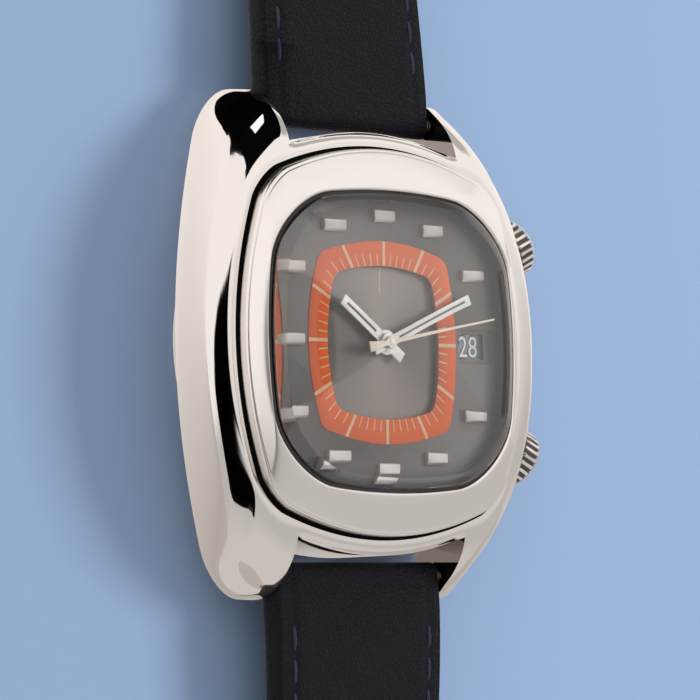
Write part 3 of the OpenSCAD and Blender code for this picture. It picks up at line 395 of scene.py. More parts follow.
def buildCase():
    c, w = caseShape, watch
    tube, seat, bar = c["tubeHole"], c["crownSeat"], c["barHole"]
    case = tidyMesh(loft("caseBody", caseRings()))
    whole = newObject("wholeCase", case.data.copy())
    cutters = [cylinder("bore", c["boreR"], w["dialUnder"] - c["below"], moved(0, 0, c["below"]), 160),
               extruded("dialSeat", cushion("glass", -c["dialRoom"]), w["dialUnder"] - c["dialLip"],
                        c["dialTop"])]
    for side in (-1, 1):
        axis = crownAxis(side)
        cutters.append(cylinder("tubeHole", tube["r"], tube["long"], axis @ moved(0, 0, tube["at"]), 40))
        cutters.append(cylinder("crownSeat", w["crownD"] / 2 + seat["room"], seat["long"],
                                axis @ moved(0, 0, seat["at"]), 96))
    cutters += [lugGap(1), lugGap(-1)]
    for x in (-1, 1):
        for y in (-1, 1):
            place = moved(x * (w["lugX"] - bar["in"]), y * w["barY"], w["barZ"])
            place = place @ Matrix.Rotation(x * math.pi / 2, 4, "Y")
            cutters.append(cylinder("barHole", bar["r"], bar["long"], place, 24))
    cutAway(case, cutters)
    tidyMesh(case)
    keepNormals(case, whole)
    bpy.data.objects.remove(whole)
    return case


caseBody = buildCase()
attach(caseBody, "case")
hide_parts("middle_case")
print("case built", len(caseBody.data.polygons))


# Bezel: its foot as (inset, height) from the groove up, then the crowned top in shares of the
# way to the crystal and of the rise, then the seat of the crystal

bezelShape = {"foot": [(0.02, 0.0), (0.02, 0.3), (0.04, 0.86), (0.1, 1.04), (0.2, 1.1),
                       (0.34, 1.12), (0.42, 1.2)],
              "high": 1.95, "shoulder": 1.1, "topIn": 0.45, "holeOut": 0.15, "lip": 0.15,
              "ledge": 0.4, "top": [(0.35, 0.55), (0.7, 0.88)],
              "rounding": [0.1] + [0.5] * 5 + [0.25, 0.5, 0.5, 0.3, 0.3, 0.1, 0.1, 0.1]}


def buildBezel():
    b, z, seat = bezelShape, watch["dialZ"], watch["glassSeat"]
    outer, inner = cushion("bezel", b["topIn"]), cushion("glass", -b["holeOut"])
    rings = [raised(cushion("bezel", i), z + h) for i, h in b["foot"]]
    rings += [raised(mix(outer, inner, share), z + mix(b["shoulder"], b["high"], rise))
              for share, rise in b["top"]]
    rings += [raised(inner, z + b["high"]), raised(cushion("glass"), z + b["high"] - b["lip"])]
    rings += [raised(cushion("glass", i), z + h)
              for i, h in ((0, seat), (b["ledge"], seat), (b["ledge"], 0))]
    rings = roundedProfile(rings, b["rounding"], 4, closed=True)
    return tidyMesh(loft("bezelRing", rings, closed=True), angle=50)


bezelPiece = buildBezel()
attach(bezelPiece, "case")
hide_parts("bezel")

# Painted shade in the joint between the bezel and the case: a black band where the gap lies in shadow,
# given as (inset from the bezel, height)
jointProfile = [(-0.3, -0.02), (-0.28, 0.012), (-0.08, 0.03), (-0.02, 0.1), (0.0, 0.24),
                (0.06, 0.24), (0.06, -0.02)]
jointShadePiece = loft("bezelJointShade", [raised(cushion("bezel", i), watch["dialZ"] + h)
                                 for i, h in jointProfile], closed=True)
tidyMesh(jointShadePiece, 0.001, 60)
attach(jointShadePiece, "case")

# The crystal's edge is a soft bevel: (inset, height over the dial) from the seat to the dome
crystal = {"top": 3.9, "thick": 1.1, "seal": 0.25, "wall": 0.35, "power": 2.3,
           "edge": [(0.25, 1.45), (0.25, 2.02), (0.28, 2.09), (0.46, 2.214), (0.61, 2.313),
                    (0.77, 2.415), (0.93, 2.513), (1.09, 2.607), (1.24, 2.691), (1.3, 2.71)],
           "domeSteps": [0.004, 0.06, 0.15, 0.3, 0.45, 0.6, 0.72, 0.82, 0.9, 0.95],
           "hollowSteps": [0.004, 0.08, 0.16, 0.24, 0.32, 0.4, 0.48, 0.56, 0.64, 0.72, 0.8, 0.87,
                           0.93, 0.98]}


def buildCrystal():
    c, z = crystal, watch["dialZ"]
    inset, rim = c["edge"][-1]
    rim, top, low = z + rim, z + c["top"], z + watch["glassSeat"]
    base = cushion("glass", inset)

    def dome(s):
        return raised(base * s, rim + (top - rim) * (1 - s ** c["power"]))

    # Hollow underneath, and flat near the wall
    def hollow(s):
        return raised(base * s, rim - c["thick"] + (top - rim) * (1 - s * s) ** 2)

    wall = c["seal"] + c["wall"]
    rings = [hollow(s) for s in c["hollowSteps"]]
    rings += [raised(cushion("glass", i), h)
              for i, h in ((wall, rim - c["thick"]), (wall, low), (c["seal"], low))]
    edge = [raised(cushion("glass", i), z + h) for i, h in c["edge"]]
    edge += [dome(s) for s in c["domeSteps"][:-3:-1]]
    rings += roundedProfile(edge, 0.5, 3) + [dome(s) for s in c["domeSteps"][-3::-1]]
    return tidyMesh(loft("crystalDome", rings), angle=40)


crystalPiece = buildCrystal()
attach(crystalPiece, "case")
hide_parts("crystal")
print("bezel and crystal built")


# Crowns: a fluted body with a smooth bright rim. The hub is (radius, height), the foot is
# (inset, height) and the cap is (inset, depth under the top)

crownShape = {"flutes": 24, "fluteR": 0.3, "fluteAt": 0.15, "steps": 16, "smoothIn": 0.45,
              "hub": [(0.9, 0.9), (1.15, 0.9), (1.15, 0)], "middle": 0.02,
              "foot": [(0.3, 0), (0.12, 0.06), (0, 0.3), (0, 0.7), (0, 1.1)],
              "cap": [(0, 0.75), (0.06, 0.55), (0.2, 0.38), (0.4, 0.26), (0.8, 0.13),
                      (1.3, 0.05), (2.0, 0.01)]}


def buildCrown(name, side):
    c, half, long = crownShape, watch["crownD"] / 2, watch["crownL"]
    profile = c["hub"] + [(half - i, z) for i, z in c["foot"]]
    profile += [(half - i, long - z) for i, z in c["cap"]] + [(c["middle"], long)]
    count = c["flutes"] * c["steps"]
    pitch = 2 * math.pi / c["flutes"]
    centre = half + c["fluteAt"]
    rings = []
    for radius, z in profile:
        ring = []
        for i in range(count):
            a = 2 * math.pi * i / count
            off = (a + pitch / 2) % pitch - pitch / 2
            reach, r = centre * math.sin(abs(off)), radius
            if reach < c["fluteR"] and radius >= half - c["smoothIn"]:
                r = min(r, centre * math.cos(off) - math.sqrt(c["fluteR"] ** 2 - reach ** 2))
            ring.append((r * math.cos(a), r * math.sin(a), z + watch["crownIn"]))
        rings.append(ring)
    crown = loft(name, rings)
    placeMesh(crown, crownAxis(side))
    return tidyMesh(crown, angle=38)


crowns = []
for name, side, body in (("timeCrown", -1, "time_crown"), ("alarmCrown", 1, "alarm_crown")):
    crown = buildCrown(name, side)
    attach(crown, body)
    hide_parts(body)
    crowns.append((crown, side))
print("crowns built")


# Dial side. A window's size is its width, height and corner

dialShape = {"thick": 0.4, "room": 0.5, "soft": 0.03, "windowX": 10.85, "window": (2.6, 2.3, 0.08),
             "frameX": 11.1, "frame": (4.0, 3.2, 0.15), "frameFoot": (3.5, 2.8, 0.1),
             "frameTop": 10.0, "cut": (7.0, 11.0)}


def buildDial():
    d, under, z = dialShape, watch["dialUnder"], watch["dialZ"]
    dial = extruded("dialPlate", cushion("glass", -d["room"]), under, under + d["thick"])
    cutAway(dial, [extruded("discOpening", cushion("opening"), *d["cut"])])
    outer, inner = (roundedBox(d["frameX"], 0, *d[k]) for k in ("frame", "frameFoot"))
    levels = ((outer, d["frameTop"]), (outer, z), (inner, z - d["thick"] / 2))
    step = meshObject("windowStep", [(*p, h) for outline, h in levels for p in outline],
                      loftFaces(len(outer), 3))
    hole = extruded("windowHole", roundedBox(d["windowX"], 0, *d["window"]), *d["cut"])
    cutAway(dial, [tidyMesh(step), hole])
    tidyMesh(dial)
    softenEdges(dial, d["soft"])
    return dial


dialPlate = buildDial()
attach(dialPlate, "case")
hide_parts("dial")

trackShape = {"thick": 0.06, "side": 0.6, "bevel": 0.015}


def buildTrack():
    z, t = watch["dialZ"], trackShape["thick"]
    out, hole, share = cushion("track"), cushion("opening"), trackShape["bevel"]
    rings = [raised(out, z), raised(out, z + t * trackShape["side"]),
             raised(mix(out, hole, share), z + t), raised(mix(out, hole, 1 - share), z + t),
             raised(hole, z + t * trackShape["side"]), raised(hole, z)]
    return tidyMesh(loft("minuteTrack", rings, closed=True), 0.0001, 60)


# How far an outline lies from the middle, in the direction of the angle
def outlineReach(ring, angle):
    ray = (math.cos(angle), math.sin(angle))
    best = 0
    for a, b in zip(ring, np.roll(ring, -1, 0)):
        side = b - a
        det = ray[0] * -side[1] + side[0] * ray[1]
        if abs(det) < 1e-9:
            continue
        r = (a[0] * -side[1] + side[0] * a[1]) / det
        s = (ray[0] * a[1] - ray[1] * a[0]) / det
        if -1e-6 <= s <= 1 + 1e-6 and r > best:
            best = r
    return best


ticks = {"hourWidth": 0.34, "minuteWidth": 0.13, "minuteShare": 0.5, "height": 0.012,
         "sunk": 0.01, "inset": 0.02, "slope": 0.012}


def buildTicks():
    z, out, hole = watch["dialZ"] + trackShape["thick"], cushion("track"), cushion("opening")
    points, faces = [], []
    for i in range(60):
        a = math.pi / 2 - i * math.pi / 30
        near, far = outlineReach(hole, a) + ticks["inset"], outlineReach(out, a) - ticks["inset"]
        width = ticks["minuteWidth"] if i % 5 else ticks["hourWidth"]
        if i % 5:
            far = mix(near, far, ticks["minuteShare"])
        c, s = math.cos(a), math.sin(a)
        faces += [tuple(len(points) + k for k in f) for f in loftFaces(4, 2)]
        for level, shrink in ((z - ticks["sunk"], 0), (z + ticks["height"], ticks["slope"])):
            half = width / 2 - shrink
            for r, h in box(near + shrink, far - shrink, -half, half):
                points.append((r * c - h * s, r * s + h * c, level))
    return tidyMesh(meshObject("minuteTicks", points, faces), 0.00005)


trackPiece, tickPiece = buildTrack(), buildTicks()
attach(trackPiece, "case")
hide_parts("minute_track")
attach(tickPiece, "case")

# The markers' end profile is in shares of their width and height
markers = {"long": 2.42, "wide": 1.08, "high": 0.42, "soft": 0.025,
           "profile": [(-0.5, 0), (0.5, 0), (0.5, 0.75), (0.4, 1), (-0.3, 1), (-0.5, 0.6)],
           "places": [(0, 11.1), (5.85, 10.1), (10.65, 6.35), (10.65, -6.35), (5.85, -10.1),
                      (0, -11.1), (-5.85, -10.1), (-10.65, -6.35), (-10.9, 0), (-10.65, 6.35),
                      (-5.85, 10.1)]}


def buildMarkers():
    m = markers
    side = [(y * m["wide"], z * m["high"]) for y, z in m["profile"]]
    points, faces = [], []
    for cx, cy in m["places"]:
        faces += [tuple(len(points) + k for k in f) for f in loftFaces(len(side), 2)]
        for x in (-m["long"] / 2, m["long"] / 2):
            points += [(cx + x, cy + y, watch["dialZ"] + z) for y, z in side]
    piece = tidyMesh(meshObject("hourMarkers", points, faces), 0.0001)
    softenEdges(piece, m["soft"], 2, 15)
    return piece


markerPiece = buildMarkers()
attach(markerPiece, "case")
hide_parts("hour_markers")

# Alarm disc's pointer line
pointer = {"near": 4.7, "far": 6.75, "width": 0.12, "from": 8.79, "to": 8.812}
pointerLine = extruded("alarmPointer", box(-pointer["width"] / 2, pointer["width"] / 2,
                                           pointer["near"], pointer["far"]),
                       pointer["from"], pointer["to"])
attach(pointerLine, "alarm_dial")


# Numbers 1 to 31 round the date disc, over a slightly fatter dark copy of themselves
numbers = {"days": 31, "shown": 28, "size": 2.75, "squeeze": 0.72, "spacing": 1.02, "at": 10.85, "z": 8.8,
           "swell": {"dateOutlines": 0.13, "dateNumbers": 0.01},
           "rise": {"dateOutlines": 0.008, "dateNumbers": 0.016}}


def buildNumbers(name):
    n, joined = numbers, bmesh.new()
    for day in range(1, n["days"] + 1):
        curve = bpy.data.curves.new("number", "FONT")
        curve.body = str(day)
        curve.size = n["size"] * mm
        curve.align_x, curve.align_y = "CENTER", "CENTER"
        curve.extrude = n["rise"][name] * mm
        curve.offset = n["swell"][name] * mm
        curve.resolution_u = 4
        curve.space_character = n["spacing"]
        text = newObject("number", curve)
        letters = bpy.data.meshes.new_from_object(text)
        low = min(v.co.y for v in letters.vertices)
        high = max(v.co.y for v in letters.vertices)
        letters.transform(Matrix.Rotation(2 * math.pi * (day - n["shown"]) / n["days"], 4, "Z")
                          @ moved(n["at"] * mm, 0, n["z"] * mm)
                          @ Matrix.Diagonal((n["squeeze"], 1, 1, 1)) @ moved(0, -(low + high) / 2, 0))
        joined.from_mesh(letters)
        bpy.data.objects.remove(text)
        bpy.data.meshes.remove(letters)
    mesh = bpy.data.meshes.new(name)
    joined.to_mesh(mesh)
    joined.free()
    return newObject(name, mesh)


numberShade, numberPiece = buildNumbers("dateOutlines"), buildNumbers("dateNumbers")
for piece in (numberShade, numberPiece):
    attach(piece, "date")
print("dial built")


# Hands: flat curves with a slot, softened edges and a dark fill that lies low in the slot

hands = {"thick": 0.18, "soft": 0.025, "slotWide": 0.11, "slotRoot": 0.5, "slotTip": 0.6,
         "fillFrom": 0.01, "fillTo": 0.07,
         "hour": {"long": 6.4, "wide": 1.1, "tail": 2.4, "boss": 1.15, "bore": 0.76, "z": 9.42,
                  "angle": 144.4},
         "minute": {"long": 10.8, "wide": 0.95, "tail": 2.0, "boss": 0.85, "bore": 0.43, "z": 9.8,
                    "angle": 22.9},
         "second": {"long": 12.7, "tip": 0.08, "neck": (0.57, 0.18), "boss": 0.6, "bore": 0.15,
                    "bossFrom": (20, 205), "bossSweep": 130,
                    "tail": [(-0.8, 0.2), (-2.8, 0.5)], "z": 10.18, "angle": 11.2, "soft": 0.02,
                    "cap": {"r": 0.3, "thick": 0.2, "up": 0.05, "soft": 0.06}}}


def flatShape(name, outlines, z0, angle, soft):
    curve = bpy.data.curves.new(name, "CURVE")
    curve.dimensions, curve.fill_mode = "2D", "BOTH"
    curve.bevel_depth, curve.bevel_resolution = soft * mm, 1
    curve.offset = -soft * mm
    curve.extrude = (hands["thick"] / 2 - soft) * mm
    for outline in outlines:
        spline = curve.splines.new("POLY")
        spline.points.add(len(outline) - 1)
        for point, (x, y) in zip(spline.points, outline):
            point.co = (x * mm, y * mm, 0, 1)
        spline.use_cyclic_u = True
    drawn = newObject(name + "Curve", curve)
    mesh = bpy.data.meshes.new_from_object(drawn)
    mesh.name = name
    mesh.transform(moved(0, 0, (z0 + hands["thick"] / 2) * mm))
    mesh.transform(Matrix.Rotation(math.radians(angle), 4, "Z"))
    bpy.data.objects.remove(drawn)
    return tidyMesh(newObject(name, mesh), 0.0005, 30)


# Outline of a bar that runs through a round boss
def batonOutline(long, wide, tail, boss, steps=14):
    h = wide / 2
    a = math.degrees(math.asin(h / boss))
    top = roundCorner(0, 0, boss, a, 180 - 2 * a, steps)
    return [(long, -h), (long, h)] + top + [(-tail, h), (-tail, -h)] + [(-x, -y) for x, y in top]


def buildBaton(name, h):
    half = h["wide"] * hands["slotWide"]
    slot = box(h["boss"] + hands["slotRoot"], h["long"] - hands["slotTip"], -half, half)
    outlines = [batonOutline(h["long"], h["wide"], h["tail"], h["boss"]), arc(h["bore"]), slot[::-1]]
    hand = flatShape(name, outlines, h["z"], h["angle"], hands["soft"])
    fill = extruded(name + "Fill", slot, h["z"] + hands["fillFrom"], h["z"] + hands["fillTo"])
    fill.data.transform(Matrix.Rotation(math.radians(h["angle"]), 4, "Z"))
    return hand, fill


def buildSecondHand():
    s = hands["second"]
    x, y = s["neck"]
    upper, lower = (arc(s["boss"], 14, start, s["bossSweep"]) for start in s["bossFrom"])
    outline = [(s["long"], -s["tip"]), (s["long"], s["tip"]), (x, y)] + upper
    outline += s["tail"] + [(x, -y) for x, y in s["tail"][::-1]] + lower
    return flatShape("secondHand", [outline + [(x, -y)], arc(s["bore"], 20)], s["z"], s["angle"],
                     s["soft"])


handPieces = []
for name, key, body, node in (("hourHand", "hour", "hours", "hour_hand"),
                              ("minuteHand", "minute", "minutes", "minute_hand")):
    hand, fill = buildBaton(name, hands[key])
    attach(hand, body)
    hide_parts(node)
    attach(fill, body)
    handPieces.append((hand, fill))

secondHand = buildSecondHand()
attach(secondHand, "seconds")
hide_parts("second_hand")
cap = hands["second"]["cap"]
secondPin = cylinder("secondCap", cap["r"], cap["thick"], moved(0, 0, hands["second"]["z"] + cap["up"]), 32)
softenEdges(secondPin, cap["soft"], 3)
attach(secondPin, "seconds")
print("hands built")


# Strap

strap = {"wide": 20.0, "endWide": 16.0, "thick": 2.6, "thin": 2.1, "buckleLong": 75.0,
         "holedLong": 115.0, "buckleRise": -1.5, "holedRise": 5.5, "buckleFlat": 45.75,
         "holedFlat": 57.5, "flatZ": 2.1, "tipZ": 1.05, "bendOut": 14.0, "bendIn": 16.0,
         "thinFrom": 2.0, "thinOver": 22.0, "narrowFrom": 3.0, "pointShare": 0.9,
         "flatShare": 0.45, "flatOver": 3.0, "flatThick": 0.5,
         "barHoleR": 0.8, "buckleBarR": 0.7, "slotHalf": 1.35, "slotFrom": -3.4, "slotTo": 4.6,
         "holes": 7, "holePitch": 6.5, "holeFirst": 97.0, "holeR": 1.1, "cut": (-1, 11),
         "cutWide": 40, "step": 0.8, "across": 40, "spread": 0.999, "nose": 7,
         "noseLeast": 0.05, "tipLeast": 0.0004, "endFrom": 0.9,
         "edge": 0.4, "edgeSteps": 6, "belly": 0.25, "overPower": 0.8, "underPower": 1.2,
         "end": [(0.6, 1), (0.3, 0.93), (0.1, 0.75), (0.0, 0.5)]}
pad = {"low": 0.93, "over": 2.6, "groove": 0.05, "grooveWide": 0.3}
stitch = {"in": 1.75, "pitch": 2.9, "long": 2.25, "thread": 0.2, "first": 4.4, "lean": 0.05,
          "bow": 0.15, "bowPower": 0.6, "sunk": 0.11, "steps": 8, "sides": 8, "flat": 0.8,
          "thinEnd": 0.55, "endPower": 0.5,
          "twist": 0.06, "twists": 25, "last": {"buckle_strap": 66, "holed_strap": 103}}


# The strap's middle line as (distance from the bar, height): a bend down to the table, then flat
def middleLine(rise, endZ, flatY, long, bend=48):
    a, out = Vector((0, watch["barZ"])), strap["bendOut"]
    b = Vector((out, watch["barZ"] + out * math.tan(math.radians(rise))))
    c, d = Vector((flatY - strap["bendIn"], endZ)), Vector((flatY, endZ))
    line = []
    for i in range(bend + 1):
        t = i / bend
        line.append(a * (1 - t) ** 3 + b * 3 * t * (1 - t) ** 2 + c * 3 * t * t * (1 - t) + d * t ** 3)
    steps = max(8, int((long - flatY) / strap["step"]))
    return line + [Vector((mix(flatY, long, i / steps), endZ)) for i in range(1, steps + 1)]


# Height of the leather across the strap: full in the middle, thin at the edges
def padHeight(x, half):
    edge = half - abs(x)
    groove = pad["groove"] * math.exp(-((edge - stitch["in"]) / pad["grooveWide"]) ** 2)
    return mix(pad["low"], 1, smooth(edge / pad["over"])) - groove


class StrapHalf:
    def __init__(self, name, line, long, pointed):
        self.name, self.line, self.long, self.pointed = name, line, long, pointed

    def frameAt(self, y):
        line = self.line
        y = clamp(y, 0, line[-1].x)
        for i in range(len(line) - 1):
            if y <= line[i + 1].x or i == len(line) - 2:
                t = (y - line[i].x) / (line[i + 1].x - line[i].x)
                spot = mix(line[i], line[i + 1], t)
                along = (line[min(i + 2, len(line) - 1)] - line[max(i - 1, 0)]).normalized()
                return spot, Vector((-along.y, along.x)), along

    def halfThick(self, y):
        return mix(strap["thick"], strap["thin"], clamp((y - strap["thinFrom"]) / strap["thinOver"])) / 2

    def halfWidth(self, y):
        w, e, first = strap["wide"] / 2, strap["endWide"] / 2, strap["narrowFrom"]
        tip = e * strap["pointShare"]
        start = self.long - tip if self.pointed else self.long
        if self.pointed and y > start:
            return e * math.sqrt(max(strap["tipLeast"], 1 - ((y - start) / tip) ** 2))
        return w if y < first else mix(w, e, min(1, (y - first) / (start - first)))

    # The holed half lies turned round, on the other side of the case
    def place(self, x, y, z):
        y += watch["barY"]
        return (-x, -y, z) if self.pointed else (x, y, z)

    # Point on the upper face and its normal, for what lies on the leather
    def top(self, x, y):
        spot, normal, along = self.frameAt(y)
        h = self.halfThick(y) * (2 * padHeight(x, self.halfWidth(y)) - 1)
        p = spot + normal * h
        turned = -normal.x if self.pointed else normal.x
        return Vector(self.place(x, p.x, p.y)), Vector((0, turned, normal.y))

    # One section of the half: over the top, down one edge, back underneath and up the other edge
    def ring(self, y, squeeze=1.0, shift=0.0):
        s = strap
        spot, normal, along = self.frameAt(y)
        spot = spot + along * shift
        half = self.halfWidth(max(y, 0))
        if self.pointed and y > self.long - s["endWide"] * s["flatShare"]:
            squeeze *= mix(1, s["flatThick"], smooth((y - self.long + s["flatOver"]) / s["flatOver"]))
        h = self.halfThick(y) * squeeze
        n, m, edge, belly = s["across"], s["edgeSteps"], min(1, half) * s["edge"], -h * s["belly"]
        over = [(half - edge) * math.sin(math.pi / 2 * (2 * i / n - 1) * s["spread"])
                for i in range(n + 1)]
        over = [(x, h * (2 * padHeight(x, half) - 1)) for x in over]
        side = []
        for i in range(1, m):
            a = math.pi / 2 * i / m
            side.append((half - edge + edge * math.sin(a),
                         mix(belly, over[-1][1], math.cos(a) ** s["overPower"])))
        for i in range(m):
            a = math.pi / 2 * i / m
            side.append((half - edge + edge * math.cos(a),
                         mix(belly, -h, math.sin(a) ** s["underPower"])))
        under = [(mix(half - edge, edge - half, i / n), -h) for i in range(n + 1)]
        points = []
        for x, v in over + side + under + [(-x, v) for x, v in side[::-1]]:
            p = spot + normal * v
            points.append(self.place(x, p.x, p.y))
        return points

    # Rings from the round nose at the spring bar to the end, where "end" gives (distance, thickness)
    def build(self, cutters):
        s, rings, y = strap, [], 0.0
        for k in range(s["nose"]):
            a = math.pi / 2 * k / s["nose"]
            rings.append(self.ring(0, max(s["noseLeast"], math.sin(a)), -s["thick"] / 2 * math.cos(a)))
        while y < self.long - s["endFrom"]:
            rings.append(self.ring(y))
            y += s["step"]
        rings += [self.ring(self.long - left, share) for left, share in s["end"]]
        piece = tidyMesh(loft(self.name, rings), 0.001)
        cutAway(piece, cutters)
        return tidyMesh(piece, 0.001, 45)

    # Stitches along both edges, each a bent thread that dips into the leather
    def stitches(self, name, stop):
        s, points, faces = stitch, [], []
        for side in (-1, 1):
            for k in range(int((stop - s["first"]) / s["pitch"])):
                start = s["first"] + k * s["pitch"]
                lean = random.uniform(-s["lean"], s["lean"])
                faces += [tuple(len(points) + q for q in f) for f in loftFaces(s["sides"], s["steps"] + 1)]
                for j in range(s["steps"] + 1):
                    t = j / s["steps"]
                    y = start + t * s["long"]
                    x = side * (self.halfWidth(y) - s["in"]) + lean * (t - 0.5)
                    spot, normal = self.top(x, y)
                    spot = spot + normal * (s["bow"] * math.sin(math.pi * t) ** s["bowPower"] - s["sunk"])
                    fat = s["thread"] * mix(s["thinEnd"], 1, math.sin(math.pi * t) ** s["endPower"])
                    fat *= 1 + s["twist"] * math.cos(t * s["twists"])
                    for aside, up in arc(fat, s["sides"]):
                        points.append(spot + Vector((aside, 0, 0)) + normal * (s["flat"] * up))
        return tidyMesh(meshObject(name, points, faces), 0.001, 60)


def buildStrap():
    s, barY, barZ = strap, watch["barY"], watch["barZ"]
    (low, high), wide = s["cut"], s["cutWide"]
    buckleHalf = StrapHalf("buckleStrap", middleLine(s["buckleRise"], s["flatZ"], s["buckleFlat"],
                                                     s["buckleLong"]), s["buckleLong"], False)
    holedHalf = StrapHalf("holedStrap", middleLine(s["holedRise"], s["tipZ"], s["holedFlat"],
                                                   s["holedLong"]), s["holedLong"], True)
    end = barY + s["buckleLong"]
    slot = box(-s["slotHalf"], s["slotHalf"], end + s["slotFrom"], end + s["slotTo"])
    buckleCuts = [rod("barHole", s["barHoleR"], wide, -wide / 2, barY, barZ),
                  rod("buckleBarHole", s["buckleBarR"], wide, -wide / 2, end, s["flatZ"]),
                  extruded("tongueSlot", slot, low, high)]
    holedCuts = [rod("barHole", s["barHoleR"], wide, -wide / 2, -barY, barZ)]
    for i in range(s["holes"]):
        y = -(barY + s["holeFirst"] - i * s["holePitch"])
        holedCuts.append(cylinder("strapHole", s["holeR"], high - low, moved(0, y, low), 36))
    return [(buckleHalf, buckleHalf.build(buckleCuts)), (holedHalf, holedHalf.build(holedCuts))]


strapHalves, threads = buildStrap(), []
for (half, piece), body, node in zip(strapHalves, ("buckle_half", "holed_half"),
                                     ("buckle_strap", "holed_strap")):
    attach(piece, body)
    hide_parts(node)
    thread = half.stitches(node.replace("_strap", "Stitches"), stitch["last"][node])
    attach(thread, body)
    threads.append(thread)
print("strap built")


# Keepers, buckle, its bar and tongue

buckle = {"y": 95.8, "z": 2.1, "inX": 8.2, "outX": 10.0, "inY": 103.9, "outY": 105.7,
          "corner": 2.4, "inCorner": 0.5, "high": 1.62, "soft": 0.38, "eyeR": 0.99, "eyeLong": 1.8,
          "holeRoom": 0.04, "holeLong": 18.7}
bar = {"r": 0.65, "pinR": 0.39, "long": 16.3, "pinLong": 18.5, "tipR": 0.2, "tipLong": 0.12,
       "step": 0.03, "bevel": (0.1, 0.08)}
tongue = {"wide": 2.2, "curlR": 1.25, "boreR": 0.72, "boreLong": 4, "curl": (78, 385, 48), "soft": 0.22,
          "blade": [(99.4, 2.76), (102.8, 3.06), (105.88, 3.06), (105.88, 3.6), (105.4, 3.84),
                    (102.8, 3.84), (99.4, 3.6)]}
keepers = {"fixed": (86.8, 16.6), "free": (74.8, 18.12),
           "wide": 5.0, "thick": 0.9, "low": 0.1, "high": 7.1, "corner": 1.2, "leastCorner": 0.3,
           "edge": [(0, 0.42), (0.015, 0.27), (0.08, 0.12), (0.2, 0.03), (0.36, 0), (0.66, 0),
                    (0.8, 0.04), (0.88, 0.14), (0.9, 0.3)]}


# Each keeper has its place along the strap and its room inside. The edge is (inset, distance
# from the end), the same at both ends
def buildKeeper(name, y, room):
    k = keepers
    profile = k["edge"] + [(i, k["wide"] - d) for i, d in k["edge"][::-1]]
    middle, high, wide = (k["low"] + k["high"]) / 2, k["high"] - k["low"], room + 2 * k["thick"]
    rings = []
    for i, at in profile:
        loop = roundedBox(0, middle, wide - 2 * i, high - 2 * i, max(k["leastCorner"], k["corner"] - i), 8)
        rings.append([(x, y + at, z) for x, z in loop])
    return tidyMesh(loft(name, rings, closed=True), angle=50)


def buildBuckle():
    b, half = buckle, buckle["high"] / 2
    r, cx, cy = b["corner"], b["outX"] - b["corner"], b["outY"] - b["corner"]
    outline = [(-b["outX"], b["y"])] + roundCorner(-cx, cy, r, 180, -90, 12)
    outline += roundCorner(cx, cy, r, 90, -90, 12) + [(b["outX"], b["y"]), (b["inX"], b["y"])]
    r, cx, cy = b["inCorner"], b["inX"] - b["inCorner"], b["inY"] - b["inCorner"]
    outline += roundCorner(cx, cy, r, 0, 90, 6) + roundCorner(-cx, cy, r, 90, 90, 6)
    outline += [(-b["inX"], b["y"])]
    loop = tidyMesh(extruded("buckleFrame", outline[::-1], b["z"] - half, b["z"] + half))
    cutAway(loop, [rod("eye", b["eyeR"], b["eyeLong"], x, b["y"], b["z"], 48)
                   for x in (-b["outX"], b["inX"])], "UNION")
    cutAway(loop, [rod("eyeHole", bar["pinR"] + b["holeRoom"], b["holeLong"], -b["holeLong"] / 2,
                       b["y"], b["z"])])
    softenEdges(loop, b["soft"], 4, 40)
    shadeSmooth(loop, 50)
    return loop


def buildBar():
    pin, body, (bevelLong, bevelIn) = bar["pinLong"] / 2, bar["long"] / 2, bar["bevel"]
    profile = [(-pin, bar["tipR"]), (-pin + bar["tipLong"], bar["pinR"]),
               (-body - bar["step"], bar["pinR"]), (-body, bar["r"] - bevelIn),
               (-body + bevelLong, bar["r"])]
    profile += [(-x, r) for x, r in profile[::-1]]
    rings = [[(x, buckle["y"] + y, buckle["z"] + z) for y, z in arc(r)] for x, r in profile]
    return tidyMesh(loft("buckleBar", rings), angle=40)


def buildTongue():
    t, b = tongue, buckle
    side = [(b["y"] + t["curlR"] * math.cos(a), b["z"] + t["curlR"] * math.sin(a))
            for a in np.radians(np.linspace(*t["curl"]))] + t["blade"]
    points = [(x, y, z) for x in (-t["wide"] / 2, t["wide"] / 2) for y, z in side]
    piece = tidyMesh(meshObject("buckleTongue", points, loftFaces(len(side), 2)))
    cutAway(piece, [rod("curlBore", t["boreR"], t["boreLong"], -t["boreLong"] / 2, b["y"], b["z"], 40)])
    softenEdges(piece, t["soft"], 3, 40)
    return piece


fixedKeeper = buildKeeper("fixedKeeper", *keepers["fixed"])
freeKeeper = buildKeeper("freeKeeper", *keepers["free"])
hardware = [(fixedKeeper, "buckle_half", "fixed_keeper", "keeper_leather"),
            (freeKeeper, "free_keeper", "free_keeper", "keeper_leather"),
            (buildBuckle(), "buckle", "buckle_frame", "buckle_steel"),
            (buildBar(), "buckle_half", "buckle_bar", "bar_steel"),
            (buildTongue(), "tongue", "buckle_tongue", "buckle_steel")]
for piece, body, node, slot in hardware:
    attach(piece, body)
    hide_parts(node)
print("keepers and buckle built")


# Materials. An input takes a value, or the output of another node

def feed(tree, node, inputs):
    for key, value in inputs.items():
        if isinstance(value, bpy.types.NodeSocket):
            tree.links.new(value, node.inputs[key])
        else:
            node.inputs[key].default_value = value


def addNode(tree, kind, inputs=None, **settings):
    node = tree.nodes.new("ShaderNode" + kind)
    for key, value in settings.items():
        setattr(node, key, value)
    feed(tree, node, inputs or {})
    return node


def addMath(tree, operation, *values):
    return addNode(tree, "Math", dict(enumerate(values)), operation=operation).outputs[0]


def addVector(tree, operation, *values):
    return addNode(tree, "VectorMath", dict(enumerate(values)), operation=operation).outputs


